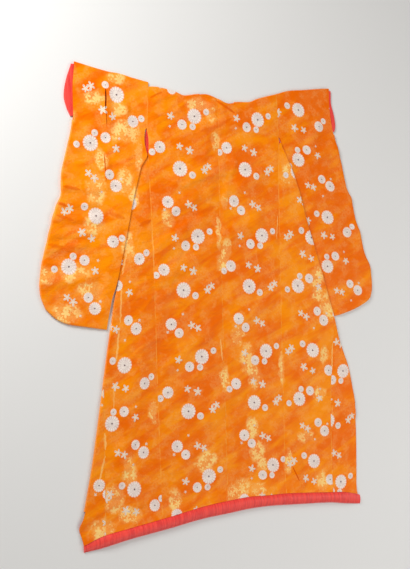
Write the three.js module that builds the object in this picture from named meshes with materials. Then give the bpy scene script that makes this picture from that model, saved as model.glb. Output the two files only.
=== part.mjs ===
// Long-sleeved lined kimono with a padded hem, laid flat with its back upwards. Millimetres.
// X runs across to the wearer's right, Y runs up to the shoulders, Z rises from the surface.
import * as THREE from "three";

// Driving dimensions
const cloth = 2; // wall: face cloth and lining together
const seamGap = 0.4; // between pieces at a seam
const hemGap = 0.8; // the same along the curved hem
const layerLift = 3.4; // an upper layer above what lies under it
const overlapLift = 5.8; // a piece that passes over two layers of another
const softEdge = 3; // extra height of the cloth where it turns under
const softWidth = 50; // how far in that extra height reaches
const edgeInset = 4; // a turned edge bulges this far past its last row of points
const neckHalf = 85; // centre of the back to where the collar meets the shoulder
const collarWidth = 55;
const collarThickness = 3;
const hemRise = 5; // the cloth climbs this far onto the padded hem
const hemRiseWidth = 60;
const hemRollHeight = 20;
const hemRollEndHeight = 8;
const hemFaceHeight = 7.5; // face of the roll that the cloth is sewn to
const hemTaper = 120; // stretch over which the roll thins at each end
const hemGathers = 66;
const gatherDepth = 1.1;
const cuffWall = 2.6; // padded lining edge of a cuff
const margin = 40; // a layer stays lifted this far past what it covers
const ramp = 45; // and comes down over this width
const overlapRamp = 110; // the same beside a piece that it passes over
const armholeRamp = 34; // below the armhole a lifted layer comes up over this height
const neckLiftFrom = 600; // from this height up to the next one the back lifts onto the fronts
const neckLiftTo = 655;
const sleeveLiftFrom = -150; // the left sleeve lifts onto the front between these heights
const sleeveLiftTo = -60;
const softFade = 80; // the left edge's extra height starts over this stretch
const coverFrom = 15; // a sleeve's own softness starts this far past the front's edge
const coverTo = 60;
const foldFrom = 50; // and its folds this far past its inner edge
const foldTo = 90;
const apexInset = 10; // the front's free edge starts this far inside its turned edge
const collarInnerHalf = 46; // half width of the collar's inner edge at the neck
const neckInset = 3; // how far the collar sits below the neck edge
const archEnd = 0.85; // share of the neck's half width where the arch of the collar starts
const cuffLipGap = 0.6; // between the two lips of a cuff
const cuffPuff = 1.6; // how much a lip crowns where the cuff stands out cuffPuffReach
const cuffPuffReach = 30;
const cuffGap = 0.6; // between a cuff's lips and the sleeve's last row of points
const hemFaceShare = 0.8; // most that the sewn face of the roll takes of its height

// Tables: each row is one section, and distances across are from the middle of the back
const columns = (names, rows) =>
  rows.map((row) => Object.fromEntries(names.split(" ").map((name, i) => [name, row[i]])));

const shoulderLine = columns("x y", [
  [-318, 800], [-274, 801], [-200, 790], [-159, 777], [-101, 786], [-51, 792], [0, 779],
  [51, 762], [99, 769], [164, 774], [198, 788], [229, 798], [302, 818],
]);
const hemLine = columns("x top bottom", [
  [-651, -990, -1018], [-574, -967, -1013], [-457, -954, -998], [-273, -935, -982],
  [-126, -917, -967], [0, -910, -963], [97, -908, -959], [207, -915, -962], [317, -922, -972],
  [537, -948, -994], [610, -957, -1008], [683, -975, -1020], [705, -983, -1023],
]);
const sideSeams = columns("y left right", [
  [820, 318, 302], [634, 333, 308], [560, 331, 301], [250, 322, 298], [-400, 315, 297],
  [-940, 310, 296],
]);
const bodyEdges = columns("y left right", [
  [515, 372, 362], [400, 399, 407], [270, 431, 443], [150, 458, 483], [0, 484, 531],
  [-70, 499, 552], [-160, 515, 580], [-240, 530, 600], [-310, 542, 626], [-390, 556, 656],
  [-480, 571, 676], [-565, 586, 692], [-680, 607, 698], [-830, 640, 696], [-885, 655, 694],
  [-922, 673, 692], [-960, 664, 691], [-1000, 655, 698],
]);
const overlapSeamLeft = columns("y m", [
  [-450, 553], [-560, 555], [-720, 556], [-970, 560],
]);
const overlapSeamRight = columns("y m", [
  [-280, 573], [-380, 566], [-480, 556], [-700, 552], [-950, 552],
]);
// Top of the right front, which reaches up beside the open side seam
const frontTopRight = columns("m y", [[301, 594], [313, 617], [324, 595], [342, 555], [362, 515]]);

const sleeveTopLeft = columns("m y", [[322, 818], [394, 830], [450, 840], [500, 844], [640, 870]]);
const sleeveTopRight = columns("m y", [[306, 820], [366, 838], [450, 848], [550, 862], [594, 866]]);
const sleeveInnerLeft = columns("y m", [
  [634, 338], [605, 346], [575, 347], [545, 341], [522, 336], [500, 350], [478, 364], [430, 379],
  [350, 402], [214, 434], [86, 466], [6, 487], [-50, 508], [-164, 531],
]);
const sleeveInnerRight = columns("y m", [
  [634, 313], [600, 327], [554, 346], [400, 385], [200, 436], [0, 492], [-170, 532],
]);
const sleeveOuterLeft = columns("y m", [
  [870, 640], [780, 650], [646, 652], [598, 660], [502, 686], [438, 702], [358, 706], [302, 730],
  [238, 750], [150, 774], [94, 790], [14, 800], [-30, 797], [-75, 780],
]);
const sleeveOuterRight = columns("y m", [
  [866, 594], [790, 594], [694, 606], [598, 630], [534, 650], [462, 666], [398, 684], [374, 700],
  [254, 730], [206, 750], [126, 770], [62, 798], [6, 808], [-42, 808], [-78, 798],
]);
const sleeveBottomLeft = columns("m y", [[531, -164], [610, -150], [690, -136], [738, -114], [780, -75]]);
const sleeveBottomRight = columns("m y", [[532, -170], [646, -144], [710, -126], [774, -98], [798, -78]]);
// How far a cuff's padded edge stands out past the sleeve
const cuffLeft = columns("y out", [[860, 8], [800, 22], [735, 30], [690, 20], [664, 7]]);
const cuffRight = columns("y out", [[856, 6], [800, 7], [750, 17], [704, 17], [678, 7]]);

// Soft folds of the cloth: a row for each, from one end to the other
const folds = columns("x0 y0 x1 y1 width height", [
  [-290, 150, -90, 265, 52, 5], [-250, 305, -60, 385, 50, 4], [-200, 420, 60, 500, 56, 5],
  [40, 380, 210, 470, 52, 4], [-60, 650, 120, 690, 50, 4], [-30, 745, 90, 722, 34, 4],
  [-280, 30, -120, 110, 50, 4], [-20, 180, 180, 270, 55, 5], [-260, -330, -90, -210, 55, 4],
  [60, -170, 230, -80, 55, 4], [-80, -560, 60, -430, 58, 4], [330, 210, 410, 250, 45, 3],
  [360, -780, 380, -890, 36, 7], [170, -720, 200, -880, 50, 4], [-480, -640, -420, -860, 48, 5],
  [-200, -700, -170, -880, 50, 4], [420, -420, 500, -300, 50, 4], [-430, -420, -370, -240, 46, 4],
  [-700, 392, -560, 378, 30, 5], [-715, 318, -570, 330, 30, 5], [-735, 268, -560, 262, 30, 5],
  [-752, 205, -590, 214, 32, 5], [-775, 150, -620, 168, 32, 4], [-780, 20, -590, 40, 36, 4],
  [-508, 765, -500, 620, 34, 6], [-522, 500, -512, 400, 32, 5], [-470, 560, -420, 700, 45, 4],
  [-640, 540, -560, 620, 42, 3], [620, 590, 500, 560, 42, 4], [700, 380, 560, 400, 42, 4],
  [745, 230, 600, 260, 42, 4], [780, 60, 640, 90, 44, 4], [520, 700, 470, 580, 44, 3],
]);

const halves = {
  left: {
    sign: -1, armholeEnd: 634, sideSeamTop: 518, turnTop: 508, seamMeet: -390, edgeTurn: -860,
    collarTipY: 540, collarEnd: { m: 430, y: -240 }, underarm: [{ m: 358, y: 560 }, { m: 340, y: 600 }],
    overlapSeam: overlapSeamLeft, sleeveTop: sleeveTopLeft, sleeveInner: sleeveInnerLeft,
    sleeveOuter: sleeveOuterLeft, sleeveBottom: sleeveBottomLeft, cuff: cuffLeft, cuffEnd: 646,
  },
  right: {
    sign: 1, armholeEnd: 634, sideSeamTop: 594, turnTop: 515, seamMeet: -140, edgeTurn: -560,
    collarTipY: 530, collarEnd: { m: 470, y: -240 }, underarm: [{ m: 338, y: 572 }, { m: 318, y: 606 }],
    frontTop: frontTopRight, overlapSeam: overlapSeamRight, sleeveTop: sleeveTopRight,
    sleeveInner: sleeveInnerRight, sleeveOuter: sleeveOuterRight,
    sleeveBottom: sleeveBottomRight, cuff: cuffRight, cuffEnd: 660,
  },
};

const { lerp, clamp, smoothstep } = THREE.MathUtils;

// Even steps from one value to another, without the first
const steps = (from, to, count) =>
  Array.from({ length: count }, (_, i) => lerp(from, to, (i + 1) / count));

// Smooth curve through two columns of a table
function curve(rows, from, to) {
  const knots = rows.map((row) => [row[from], row[to]]).sort((a, b) => a[0] - b[0]);
  const last = knots.length - 1;
  const slope = (i) => {
    const [a, b] = [knots[Math.max(i - 1, 0)], knots[Math.min(i + 1, last)]];
    return (b[1] - a[1]) / (b[0] - a[0]);
  };
  return (value) => {
    const i = clamp(knots.findIndex((knot) => knot[0] > value) - 1, 0, last - 1);
    const k = value >= knots[last][0] ? last - 1 : i;
    const [[a, start], [b, end]] = [knots[k], knots[k + 1]];
    const [span, t] = [b - a, clamp((value - a) / (b - a), 0, 1)];
    const [t2, t3] = [t * t, t * t * t];
    return (2 * t3 - 3 * t2 + 1) * start + (t3 - 2 * t2 + t) * span * slope(k) +
      (3 * t2 - 2 * t3) * end + (t3 - t2) * span * slope(k + 1);
  };
}

const shoulderY = curve(shoulderLine, "x", "y");
const hemTopY = curve(hemLine, "x", "top");
const hemBottomY = curve(hemLine, "x", "bottom");

// Height that the folds add at a place
function foldHeight(x, y) {
  let height = 0;
  for (const fold of folds) {
    const [dx, dy] = [fold.x1 - fold.x0, fold.y1 - fold.y0];
    const t = clamp(((x - fold.x0) * dx + (y - fold.y0) * dy) / (dx * dx + dy * dy), 0, 1);
    const away = Math.hypot(x - fold.x0 - t * dx, y - fold.y0 - t * dy) / fold.width;
    if (away < 1) height += fold.height * (1 - away * away) ** 2;
  }
  return height;
}

for (const [name, half] of Object.entries(halves)) {
  half.sideSeam = curve(sideSeams, "y", name);
  const outline = curve(bodyEdges, "y", name);
  half.edge = (y) => outline(y) - edgeInset;
  const meet = { y: half.seamMeet, m: half.edge(half.seamMeet) };
  half.seam = curve([meet, ...half.overlapSeam], "y", "m");
  half.neck = { m: neckHalf, y: shoulderY(half.sign * neckHalf) };
  half.apex = { m: half.edge(half.edgeTurn) - apexInset, y: half.edgeTurn };
  half.inner = curve(half.sleeveInner, "y", "m");
  half.frontTopLine = half.frontTop && curve(half.frontTop, "m", "y");
  const tipFraction = (half.collarTipY - half.collarEnd.y) / (half.neck.y - half.collarEnd.y);
  half.collarTip = { m: lerp(half.collarEnd.m, half.neck.m, tipFraction), y: half.collarTipY };
}

// Free edge of a front where it lies under the back: collar line, then the plain edge
function freeEdge(half, y) {
  const { neck, collarEnd, apex } = half;
  if (y > collarEnd.y) return lerp(collarEnd.m, neck.m, (y - collarEnd.y) / (neck.y - collarEnd.y));
  return lerp(apex.m, collarEnd.m, clamp((y - apex.y) / (collarEnd.y - apex.y), 0, 1));
}

// Height of the right front where it passes over the right sleeve
function overSleeve(half, m, y) {
  if (half.sign < 0) return 0;
  const [inner, bottom] = [half.inner(y) - margin, half.sleeveBottom[0].y - margin];
  return overlapLift * smoothstep(m, inner - overlapRamp, inner) *
    smoothstep(half.armholeEnd - y, 0, armholeRamp) * smoothstep(y, bottom - overlapRamp, bottom);
}

// Height of the left sleeve where it passes over the left front
function overFront(half, m, y) {
  if (half.sign > 0) return 0;
  const edge = half.edge(y) + edgeInset;
  return overlapLift * (1 - smoothstep(m, edge + margin, edge + margin + ramp)) *
    smoothstep(half.armholeEnd - y, 0, armholeRamp) * smoothstep(y, sleeveLiftFrom, sleeveLiftTo);
}

// Underside of the cloth that shows: it rests on the surface, the front under it, or the hem roll
function upperHeight(half, m, y) {
  const inside = freeEdge(half, y) - m;
  const overCollar = 1 - smoothstep(inside, collarWidth + margin, collarWidth + margin + ramp);
  const overNeck = smoothstep(y, neckLiftFrom, neckLiftTo);
  const overUnder = smoothstep(y, half.edgeTurn - margin - ramp, half.edgeTurn - margin);
  const lift = layerLift * Math.max(overCollar, overNeck) * overUnder;
  const uncovered = half.sign > 0 ? 1 : smoothstep(-y, 0, softFade);
  const nearEdge = 1 - smoothstep(half.edge(y) - m, 0, softWidth);
  const soft = softEdge * nearEdge * overUnder * uncovered;
  const rise = hemRise * (1 - smoothstep(y - hemTopY(half.sign * m), 0, hemRiseWidth));
  return Math.max(lift, rise) + soft + overSleeve(half, m, y) + foldHeight(half.sign * m, y);
}

const point = (x, y, z, nx, ny, nz) => ({ x, y, z, nx, ny, nz });
const upper = (half, m, y, height = upperHeight(half, m, y)) =>
  point(half.sign * m, y, height + cloth / 2, 0, 0, 1);
const under = (half, m, y, height = overSleeve(half, m, y)) =>
  point(half.sign * m, y, height + cloth / 2, 0, 0, -1);

// Rows of plan points from an inner edge to an outer edge, whose end rows follow two curves
function panel(inner, outer, across, bottom, top) {
  const last = inner.length - 1;
  const bend = (line, row, u) => {
    const [a, b] = [inner[row].m, outer[row].m];
    return line ? line(lerp(a, b, u)) - lerp(line(a), line(b), u) : 0;
  };
  return inner.map((a, k) => across.map((u) => {
    const bent = (1 - k / last) ** 2 * bend(bottom, 0, u) + (k / last) ** 2 * bend(top, last, u);
    return { m: lerp(a.m, outer[k].m, u), y: lerp(a.y, outer[k].y, u) + bent };
  }));
}

// Cloth turned from an upper row round to the row under it, bulging outwards
const turnAngles = [90, 30, -30, -90].map(THREE.MathUtils.degToRad);
const turned = (uppers, lowers, outward) =>
  turnAngles.map((angle) => uppers.map((above, i) => {
    const [below, [ox, oy]] = [lowers[i], outward(i)];
    const [radius, c, s] = [(above.z - below.z) / 2, Math.cos(angle), Math.sin(angle)];
    const [x, y] = [above.x + ox * radius * c, above.y + oy * radius * c];
    return point(x, y, (above.z + below.z) / 2 + radius * s, ox * c, oy * c, s);
  }));

// Closed wall of even thickness from patches of points on its middle
function wall(patches, thickness) {
  const [points, known, faces, edges] = [[], new Map(), [], new Set()];
  const indexOf = (p) => {
    const key = [p.x, p.y, p.z].map((value) => Math.round(value * 500)).join();
    if (!known.has(key)) known.set(key, points.push(p) - 1);
    return known.get(key);
  };
  const addFace = (corners) => {
    const [a, b, c] = corners.map(indexOf);
    if (a === b || b === c || c === a) return;
    const [p, q, r] = [a, b, c].map((i) => new THREE.Vector3(points[i].x, points[i].y, points[i].z));
    const normal = q.sub(p).cross(r.sub(p));
    const facing = [a, b, c].reduce((sum, i) =>
      sum + normal.x * points[i].nx + normal.y * points[i].ny + normal.z * points[i].nz, 0);
    faces.push(facing > 0 ? [a, b, c] : [a, c, b]);
  };
  for (const rows of patches)
    for (let i = 0; i + 1 < rows.length; i++)
      for (let j = 0; j + 1 < rows[i].length; j++) {
        addFace([rows[i][j], rows[i][j + 1], rows[i + 1][j + 1]]);
        addFace([rows[i][j], rows[i + 1][j + 1], rows[i + 1][j]]);
      }
  const count = points.length;
  const index = [];
  for (const [a, b, c] of faces) {
    index.push(a, b, c, a + count, c + count, b + count);
    for (const edge of [[a, b], [b, c], [c, a]]) edges.add(edge.join());
  }
  for (const edge of edges) {
    const [a, b] = edge.split(",").map(Number);
    if (!edges.has([b, a].join())) index.push(b, a, a + count, b, a + count, b + count);
  }
  const side = (sign) => points.flatMap((p) =>
    [p.x + p.nx * sign, p.y + p.ny * sign, p.z + p.nz * sign]);
  const geometry = new THREE.BufferGeometry();
  const positions = [...side(thickness / 2), ...side(-thickness / 2)];
  geometry.setAttribute("position", new THREE.Float32BufferAttribute(positions, 3));
  return geometry.setIndex(index);
}

// Body panel and overlap panel of one half: the body is one length from hem to hem over the shoulder
function bodyAndOverlap(half) {
  const { sign, sideSeamTop, armholeEnd, turnTop, seamMeet, edgeTurn } = half;
  const { collarTip, collarEnd, apex, neck } = half;
  const laid = (plan, side) => plan.map((row) => row.map(({ m, y }) => side(half, m, y)));
  const hemY = (m) => hemTopY(sign * m) + hemGap;
  const topY = (m) => shoulderY(sign * m);
  const at = (line) => (y) => ({ m: line(y), y });

  // Rows: hem to where the front's edge turns under, to where the overlap seam turns under, to the armhole
  const hemEdge = [0, 1, 2, 3].reduce((y) => hemY(half.edge(y)), -980);
  const meetFraction = (seamMeet - hemEdge) / (turnTop - hemEdge);
  const turnFraction = (meetFraction * (edgeTurn - hemEdge)) / (seamMeet - hemEdge);
  const lower = [
    0, ...steps(0, turnFraction, sign > 0 ? 7 : 3), ...steps(turnFraction, meetFraction, 9),
    ...steps(meetFraction, 1, sign > 0 ? 11 : 14),
  ];
  const meetRow = lower.findIndex((f) => f > meetFraction - 1e-6);
  const turnRow = lower.findIndex((f) => f > turnFraction - 1e-6);

  const hemSide = hemY(half.sideSeam(-930));
  const topSide = topY(half.sideSeam(810));
  const sideRows = [
    ...lower.map((f) => lerp(hemSide, sideSeamTop, f)),
    ...steps(sideSeamTop, armholeEnd, sign > 0 ? 1 : 2), ...steps(armholeEnd, topSide, 3),
  ];
  const side = sideRows.map(at(half.sideSeam));
  const centre = sideRows.map((y) => ({
    m: seamGap / 2,
    y: lerp(hemY(0), topY(0), (y - hemSide) / (topSide - hemSide)),
  }));
  const neckFraction = neckHalf / side.at(-1).m;
  const backAcross = [0, ...steps(0, neckFraction, 2), ...steps(neckFraction, 1, 6)];
  const back = laid(panel(centre, side, backAcross, hemY, topY), upper);

  // Front that shows beside the back, out to the overlap seam or the turned edge
  const outer = lower.map((f) => f < meetFraction
    ? lerp(hemY(half.seam(-950)), seamMeet, f / meetFraction)
    : lerp(seamMeet, turnTop, (f - meetFraction) / (1 - meetFraction))).map((y, row) =>
    ({ m: row < meetRow ? half.seam(y) : half.edge(y), y }));
  const frontAcross = [0, 0.2, 0.4, 0.6, 0.75, 0.88, 1];
  const frontPlan = panel(side.slice(0, lower.length), outer, frontAcross, hemY, half.frontTopLine);
  const front = laid(frontPlan, upper);

  // The same cloth turned under its edge and on up to the shoulder
  const turnedEdge = outer.slice(meetRow);
  const tipLine = turnedEdge.map((_, i, all) => ({
    m: lerp(all[0].m, collarTip.m, i / (all.length - 1)),
    y: lerp(all[0].y, collarTip.y, i / (all.length - 1)),
  }));
  const underAcross = backAcross.slice(2).map((u) => (u - neckFraction) / (1 - neckFraction));
  const underFront = laid(panel(tipLine, turnedEdge, underAcross), under);
  const armhole = [outer.at(-1), ...half.underarm, ...side.filter(({ y }) => y > armholeEnd - 1)];
  const collarLine = armhole.map((_, i, all) => ({
    m: lerp(collarTip.m, neck.m, i / (all.length - 1)),
    y: lerp(collarTip.y, neck.y, i / (all.length - 1)),
  }));
  const yoke = laid(panel(collarLine, armhole, underAcross, undefined, topY), under);
  const backTop = back.at(-1).slice(2);
  yoke[yoke.length - 1] = backTop.map((p) => under(half, sign * p.x, p.y));
  const edgeTurned = turned(front.slice(meetRow).map((row) => row.at(-1)),
    underFront.map((row) => row.at(-1)), () => [sign, 0]);
  const shoulder = turned(backTop, yoke.at(-1), () => [0, 1]);

  // Overlap panel: its seam side is the front's own points moved out by the gap
  const overlapTip = { m: outer[meetRow].m + seamGap, y: seamMeet - 3 * seamGap };
  const overlapInner = [...outer.slice(0, meetRow).map(({ m, y }) => ({ m: m + seamGap, y })), overlapTip];
  const overlapOuter = lower.slice(0, meetRow + 1).map((f) =>
    lerp(hemEdge, overlapTip.y, f / meetFraction)).map(at(half.edge));
  overlapOuter[meetRow] = overlapTip;
  overlapOuter[turnRow] = { m: half.edge(edgeTurn), y: edgeTurn };
  const overlap = laid(panel(overlapInner, overlapOuter, [0, ...steps(0, 1, 6)], hemY), upper);
  const overlapTurn = overlapOuter.slice(turnRow);
  const tip = { m: collarTip.m, y: collarTip.y - 1.5 * seamGap };
  const bendRow = Math.round(0.35 * (overlapTurn.length - 1));
  const free = overlapTurn.map((_, i, all) => {
    const [from, to, t] = i <= bendRow ? [apex, collarEnd, i / bendRow]
      : [collarEnd, tip, (i - bendRow) / (all.length - 1 - bendRow)];
    return { m: lerp(from.m, to.m, t), y: lerp(from.y, to.y, t) };
  });
  const underOverlap = laid(panel(free, overlapTurn, [0, ...steps(0, 1, sign > 0 ? 9 : 4)]), under);
  const overlapTurned = turned(overlap.slice(turnRow).map((row) => row.at(-1)),
    underOverlap.map((row) => row.at(-1)), () => [sign, 0]);

  return {
    body: wall([back, front, edgeTurned, underFront, yoke, shoulder], cloth),
    overlap: wall([overlap, overlapTurned, underOverlap], cloth),
    side,
  };
}

// Path of outward directions round a row of plan points
const outwardOf = (points, turnSign) => (i) => {
  const [a, b] = [points[Math.max(i - 1, 0)], points[Math.min(i + 1, points.length - 1)]];
  const length = Math.hypot(b.x - a.x, b.y - a.y);
  return [(turnSign * (b.y - a.y)) / length, (-turnSign * (b.x - a.x)) / length];
};

// Sleeve: a flat pocket, open at the cuff and down its inner side
function sleeve(half, side) {
  const { sign, armholeEnd, cuffEnd } = half;
  const topLine = curve(half.sleeveTop, "m", "y");
  const bottomLine = curve(half.sleeveBottom, "m", "y");
  const outerLine = curve(half.sleeveOuter, "y", "m");
  const ends = (line) => ({ inner: line[0].y, outer: line.at(-1).y });
  const [top, bottom] = [ends(half.sleeveTop), ends(half.sleeveBottom)];
  const armhole = side.filter(({ y }) => y > armholeEnd - 1).reverse();
  armhole[0] = { m: armhole[0].m, y: top.inner };
  const cuffRow = armhole.length;
  const cuffFraction = (top.outer - cuffEnd) / (top.outer - bottom.outer);
  const belowCuff = steps(cuffFraction, 1, 17);
  const inner = [
    ...armhole.map(({ m, y }) => ({ m: m + seamGap, y })),
    ...[cuffFraction, ...belowCuff].map((f) => ({ y: lerp(top.inner, bottom.inner, f) }))
      .map(({ y }) => ({ m: half.inner(y), y })),
  ];
  const outer = inner.map(({ y }, row) => {
    const below = (top.inner - y) / (top.inner - bottom.inner);
    const f = row < cuffRow ? lerp(0, cuffFraction, row / cuffRow) : below;
    const outerY = lerp(top.outer, bottom.outer, f);
    return { m: outerLine(outerY) - edgeInset, y: outerY };
  });
  const plan = panel(inner, outer, [0, 0.1, 0.2, 0.32, 0.46, 0.6, 0.74, 0.87, 1], topLine, bottomLine);
  const [rows, last] = [plan.length - 1, plan[0].length - 1];
  const softness = (row, column) => {
    const edges = [];
    if (row >= cuffRow) edges.push(outer[row].m - plan[row][column].m);
    edges.push(plan[row][column].y - plan[rows][column].y);
    const { m, y } = plan[row][column];
    const covered = 1 - smoothstep(m, half.edge(y) + coverFrom, half.edge(y) + coverTo);
    return softEdge * (1 - smoothstep(Math.min(...edges), 0, softWidth)) * (1 - covered);
  };
  const lowers = plan.map((row) => row.map(({ m, y }) => under(half, m, y, overFront(half, m, y))));
  const folded = (m, y) =>
    foldHeight(sign * m, y) * smoothstep(m, half.inner(y) + foldFrom, half.inner(y) + foldTo);
  const uppers = plan.map((row, i) => row.map(({ m, y }, j) =>
    upper(half, m, y, overFront(half, m, y) + layerLift + folded(m, y) + softness(i, j))));
  const rim = (grid) => [
    ...grid.slice(cuffRow, rows).map((row) => row[last]), ...grid[rows].slice().reverse(),
  ];
  const topTurn = turned(uppers[0], lowers[0], () => [0, 1]);
  const rimTurn = turned(rim(uppers), rim(lowers), outwardOf(rim(uppers), -sign));
  return { solid: wall([uppers, lowers, topTurn, rimTurn], cloth), mouth: outer.slice(0, cuffRow + 1) };
}

// Padded lining edge of a cuff: two lips, joined at the top and at the bottom of the opening
function cuffRoll(half, mouth) {
  const outLine = curve(half.cuff, "y", "out");
  const mouthLine = curve(mouth, "y", "m");
  const [first, end] = [half.cuff[0].y, half.cuff.at(-1).y];
  const heights = [first, ...steps(first, end, 9)];
  const plan = heights.map((y) => [0, 0.5, 1].map((u) => ({
    m: mouthLine(y) + cuffGap + (edgeInset + outLine(y)) * u, y,
  })));
  const lipHeight = (u, y) => {
    const crown = cuffPuff * (1 - (2 * u - 1) ** 2);
    return cuffWall + cuffLipGap + (crown * outLine(y)) / cuffPuffReach;
  };
  const at = (nz) => plan.map((row) => row.map(({ m, y }, j) =>
    point(half.sign * m, y, cuffWall / 2 + (nz > 0 ? lipHeight(j / 2, y) : 0), 0, 0, nz)));
  const [uppers, lowers] = [at(1), at(-1)];
  return wall([uppers, lowers, turned(uppers[0], lowers[0], () => [0, 1]),
    turned(uppers.at(-1), lowers.at(-1), () => [0, -1])], cuffWall);
}

// Collar: a flat band down each front's slanting edge, turned down inside the back of the neck
function collarBand() {
  const arm = (half, count) => [0, ...steps(0, 1, count)].map((t) => {
    const { collarEnd, neck, sign } = half;
    const [dx, dy] = [neck.m - collarEnd.m, neck.y - collarEnd.y];
    const length = Math.hypot(dx, dy);
    const [nx, ny] = [-dy / length, dx / length];
    const [m, y] = [collarEnd.m + dx * t + nx * seamGap, collarEnd.y + dy * t + ny * seamGap];
    return { x: sign * m, y, nx: sign * nx, ny };
  });
  const offset = (p, reach) => ({ x: p.x + p.nx * reach, y: p.y + p.ny * reach });
  const across = (p) => [0, 0.5, 1].map((u) => offset(p, u * collarWidth));
  const [right, left] = [arm(halves.right, 12), arm(halves.left, 12)];
  const corner = (p, sign) => {
    const outerPoint = { x: p.x, y: shoulderY(p.x) - neckInset };
    const innerPoint = { x: sign * collarInnerHalf, y: outerPoint.y - collarWidth };
    return [0, 0.5, 1].map((u) => ({
      x: lerp(outerPoint.x, innerPoint.x, u), y: lerp(outerPoint.y, innerPoint.y, u),
    }));
  };
  const arch = steps(archEnd, -archEnd, 6).slice(0, -1).map((t) => [0, 0.5, 1].map((u) => ({
    x: lerp(t * neckHalf, t * collarInnerHalf, u), y: shoulderY(t * neckHalf) - neckInset - u * collarWidth,
  })));
  const rows = [
    ...right.slice(0, -1).map(across), corner(right.at(-1), 1), ...arch,
    corner(left.at(-1), -1), ...left.slice(0, -1).reverse().map(across),
  ];
  return wall([rows.map((row) => row.map(({ x, y }) => point(x, y, collarThickness / 2, 0, 0, 1)))],
    collarThickness);
}

// Padded hem: the lining gathered over its padding, flat underneath
function hemRoll() {
  const [start, end] = [hemLine[0].x, hemLine.at(-1).x];
  // Each row is one corner of the section: how far down from the seam, and how high
  const section = columns("down up", [
    [0, 0], [0, 0.36], [0.17, 0.8], [0.42, 1], [0.7, 0.88], [0.92, 0.55], [1, 0.24], [0.95, 0],
  ]);
  const stations = hemGathers * 2;
  const [positions, index] = [[], []];
  const size = section.length;
  for (let i = 0; i <= stations; i++) {
    const x = lerp(start, end, i / stations);
    const full = smoothstep(Math.min(x - start, end - x), 0, hemTaper);
    const height = lerp(hemRollEndHeight, hemRollHeight, full);
    const [top, width] = [hemTopY(x), hemTopY(x) - hemBottomY(x)];
    const gather = (i % 2 ? gatherDepth : -gatherDepth) / 2;
    section.forEach(({ down, up }, corner) => {
      const isGathered = corner > 1 && corner < size - 1;
      const face = Math.min(hemFaceHeight, height * hemFaceShare);
      const z = corner === 1 ? face : up * height + (isGathered ? gather : 0);
      positions.push(x, top - down * width - (corner === 6 ? gather : 0), z);
    });
  }
  const quad = (a, b, c, d) => index.push(a, b, c, a, c, d);
  for (let i = 0; i < stations; i++)
    for (let j = 0; j < size; j++) {
      const [a, b] = [i * size + j, i * size + ((j + 1) % size)];
      quad(a, b, b + size, a + size);
    }
  for (let j = 1; j + 1 < size; j++) {
    index.push(0, j + 1, j);
    const base = stations * size;
    index.push(base, base + j, base + j + 1);
  }
  const geometry = new THREE.BufferGeometry();
  geometry.setAttribute("position", new THREE.Float32BufferAttribute(positions, 3));
  return geometry.setIndex(index);
}

const brocade = () => new THREE.MeshStandardMaterial({ color: 0xf57a12, roughness: 0.45, metalness: 0 });
const redSilk = () => new THREE.MeshStandardMaterial({ color: 0xe6302e, roughness: 0.5, metalness: 0 });

const garment = new THREE.Group();
const add = (name, geometry, material) => {
  const mesh = new THREE.Mesh(geometry, material);
  mesh.name = name;
  garment.add(mesh);
};

for (const [name, half] of Object.entries(halves)) {
  const { body, overlap, side } = bodyAndOverlap(half);
  const { solid, mouth } = sleeve(half, side);
  add(`body_${name}`, body, brocade());
  add(`okumi_${name}`, overlap, brocade());
  add(`sleeve_${name}`, solid, brocade());
  add(`cuff_roll_${name}`, cuffRoll(half, mouth), redSilk());
}
add("collar", collarBand(), brocade());
add("hem_roll", hemRoll(), redSilk());

// The origin is under the middle of the garment's box
const box = new THREE.Box3().setFromObject(garment);
garment.position.set(-(box.min.x + box.max.x) / 2, -(box.min.y + box.max.y) / 2, -box.min.z);

export default garment;
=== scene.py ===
# Long-sleeved kimono laid flat, back upwards, on a pale floor
import bpy, math
import numpy as np
from mathutils import Matrix, Vector
from mathutils import noise as mathNoise


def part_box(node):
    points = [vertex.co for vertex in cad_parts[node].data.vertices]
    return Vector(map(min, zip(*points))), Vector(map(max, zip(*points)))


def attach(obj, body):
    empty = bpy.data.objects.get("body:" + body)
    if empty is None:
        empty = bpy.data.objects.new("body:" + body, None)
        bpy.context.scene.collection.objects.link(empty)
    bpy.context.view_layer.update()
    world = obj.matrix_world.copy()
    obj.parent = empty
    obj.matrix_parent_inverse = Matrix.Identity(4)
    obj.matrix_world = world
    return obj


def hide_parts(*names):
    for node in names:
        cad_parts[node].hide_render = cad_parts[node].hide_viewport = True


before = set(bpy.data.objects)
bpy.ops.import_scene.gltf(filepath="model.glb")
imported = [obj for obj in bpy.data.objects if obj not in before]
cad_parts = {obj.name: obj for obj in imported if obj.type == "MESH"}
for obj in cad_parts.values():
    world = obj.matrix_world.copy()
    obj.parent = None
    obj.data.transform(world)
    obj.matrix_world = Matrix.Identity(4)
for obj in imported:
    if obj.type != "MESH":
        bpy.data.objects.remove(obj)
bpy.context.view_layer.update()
mm = 0.001
cm = 0.01

# the garment is described from the middle of its back, so everything shifts by this much
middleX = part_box("body_right")[0][0] - 0.2 * mm  # the right half starts half a seam gap from the middle
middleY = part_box("hem_roll")[0][1] + 1023.3 * mm  # the hem's lowest corner is 1023 mm below the middle


def smoothStep(low, high, value):
    t = np.clip((np.asarray(value, dtype=float) - low) / (high - low), 0, 1)
    return t * t * (3 - 2 * t)


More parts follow.
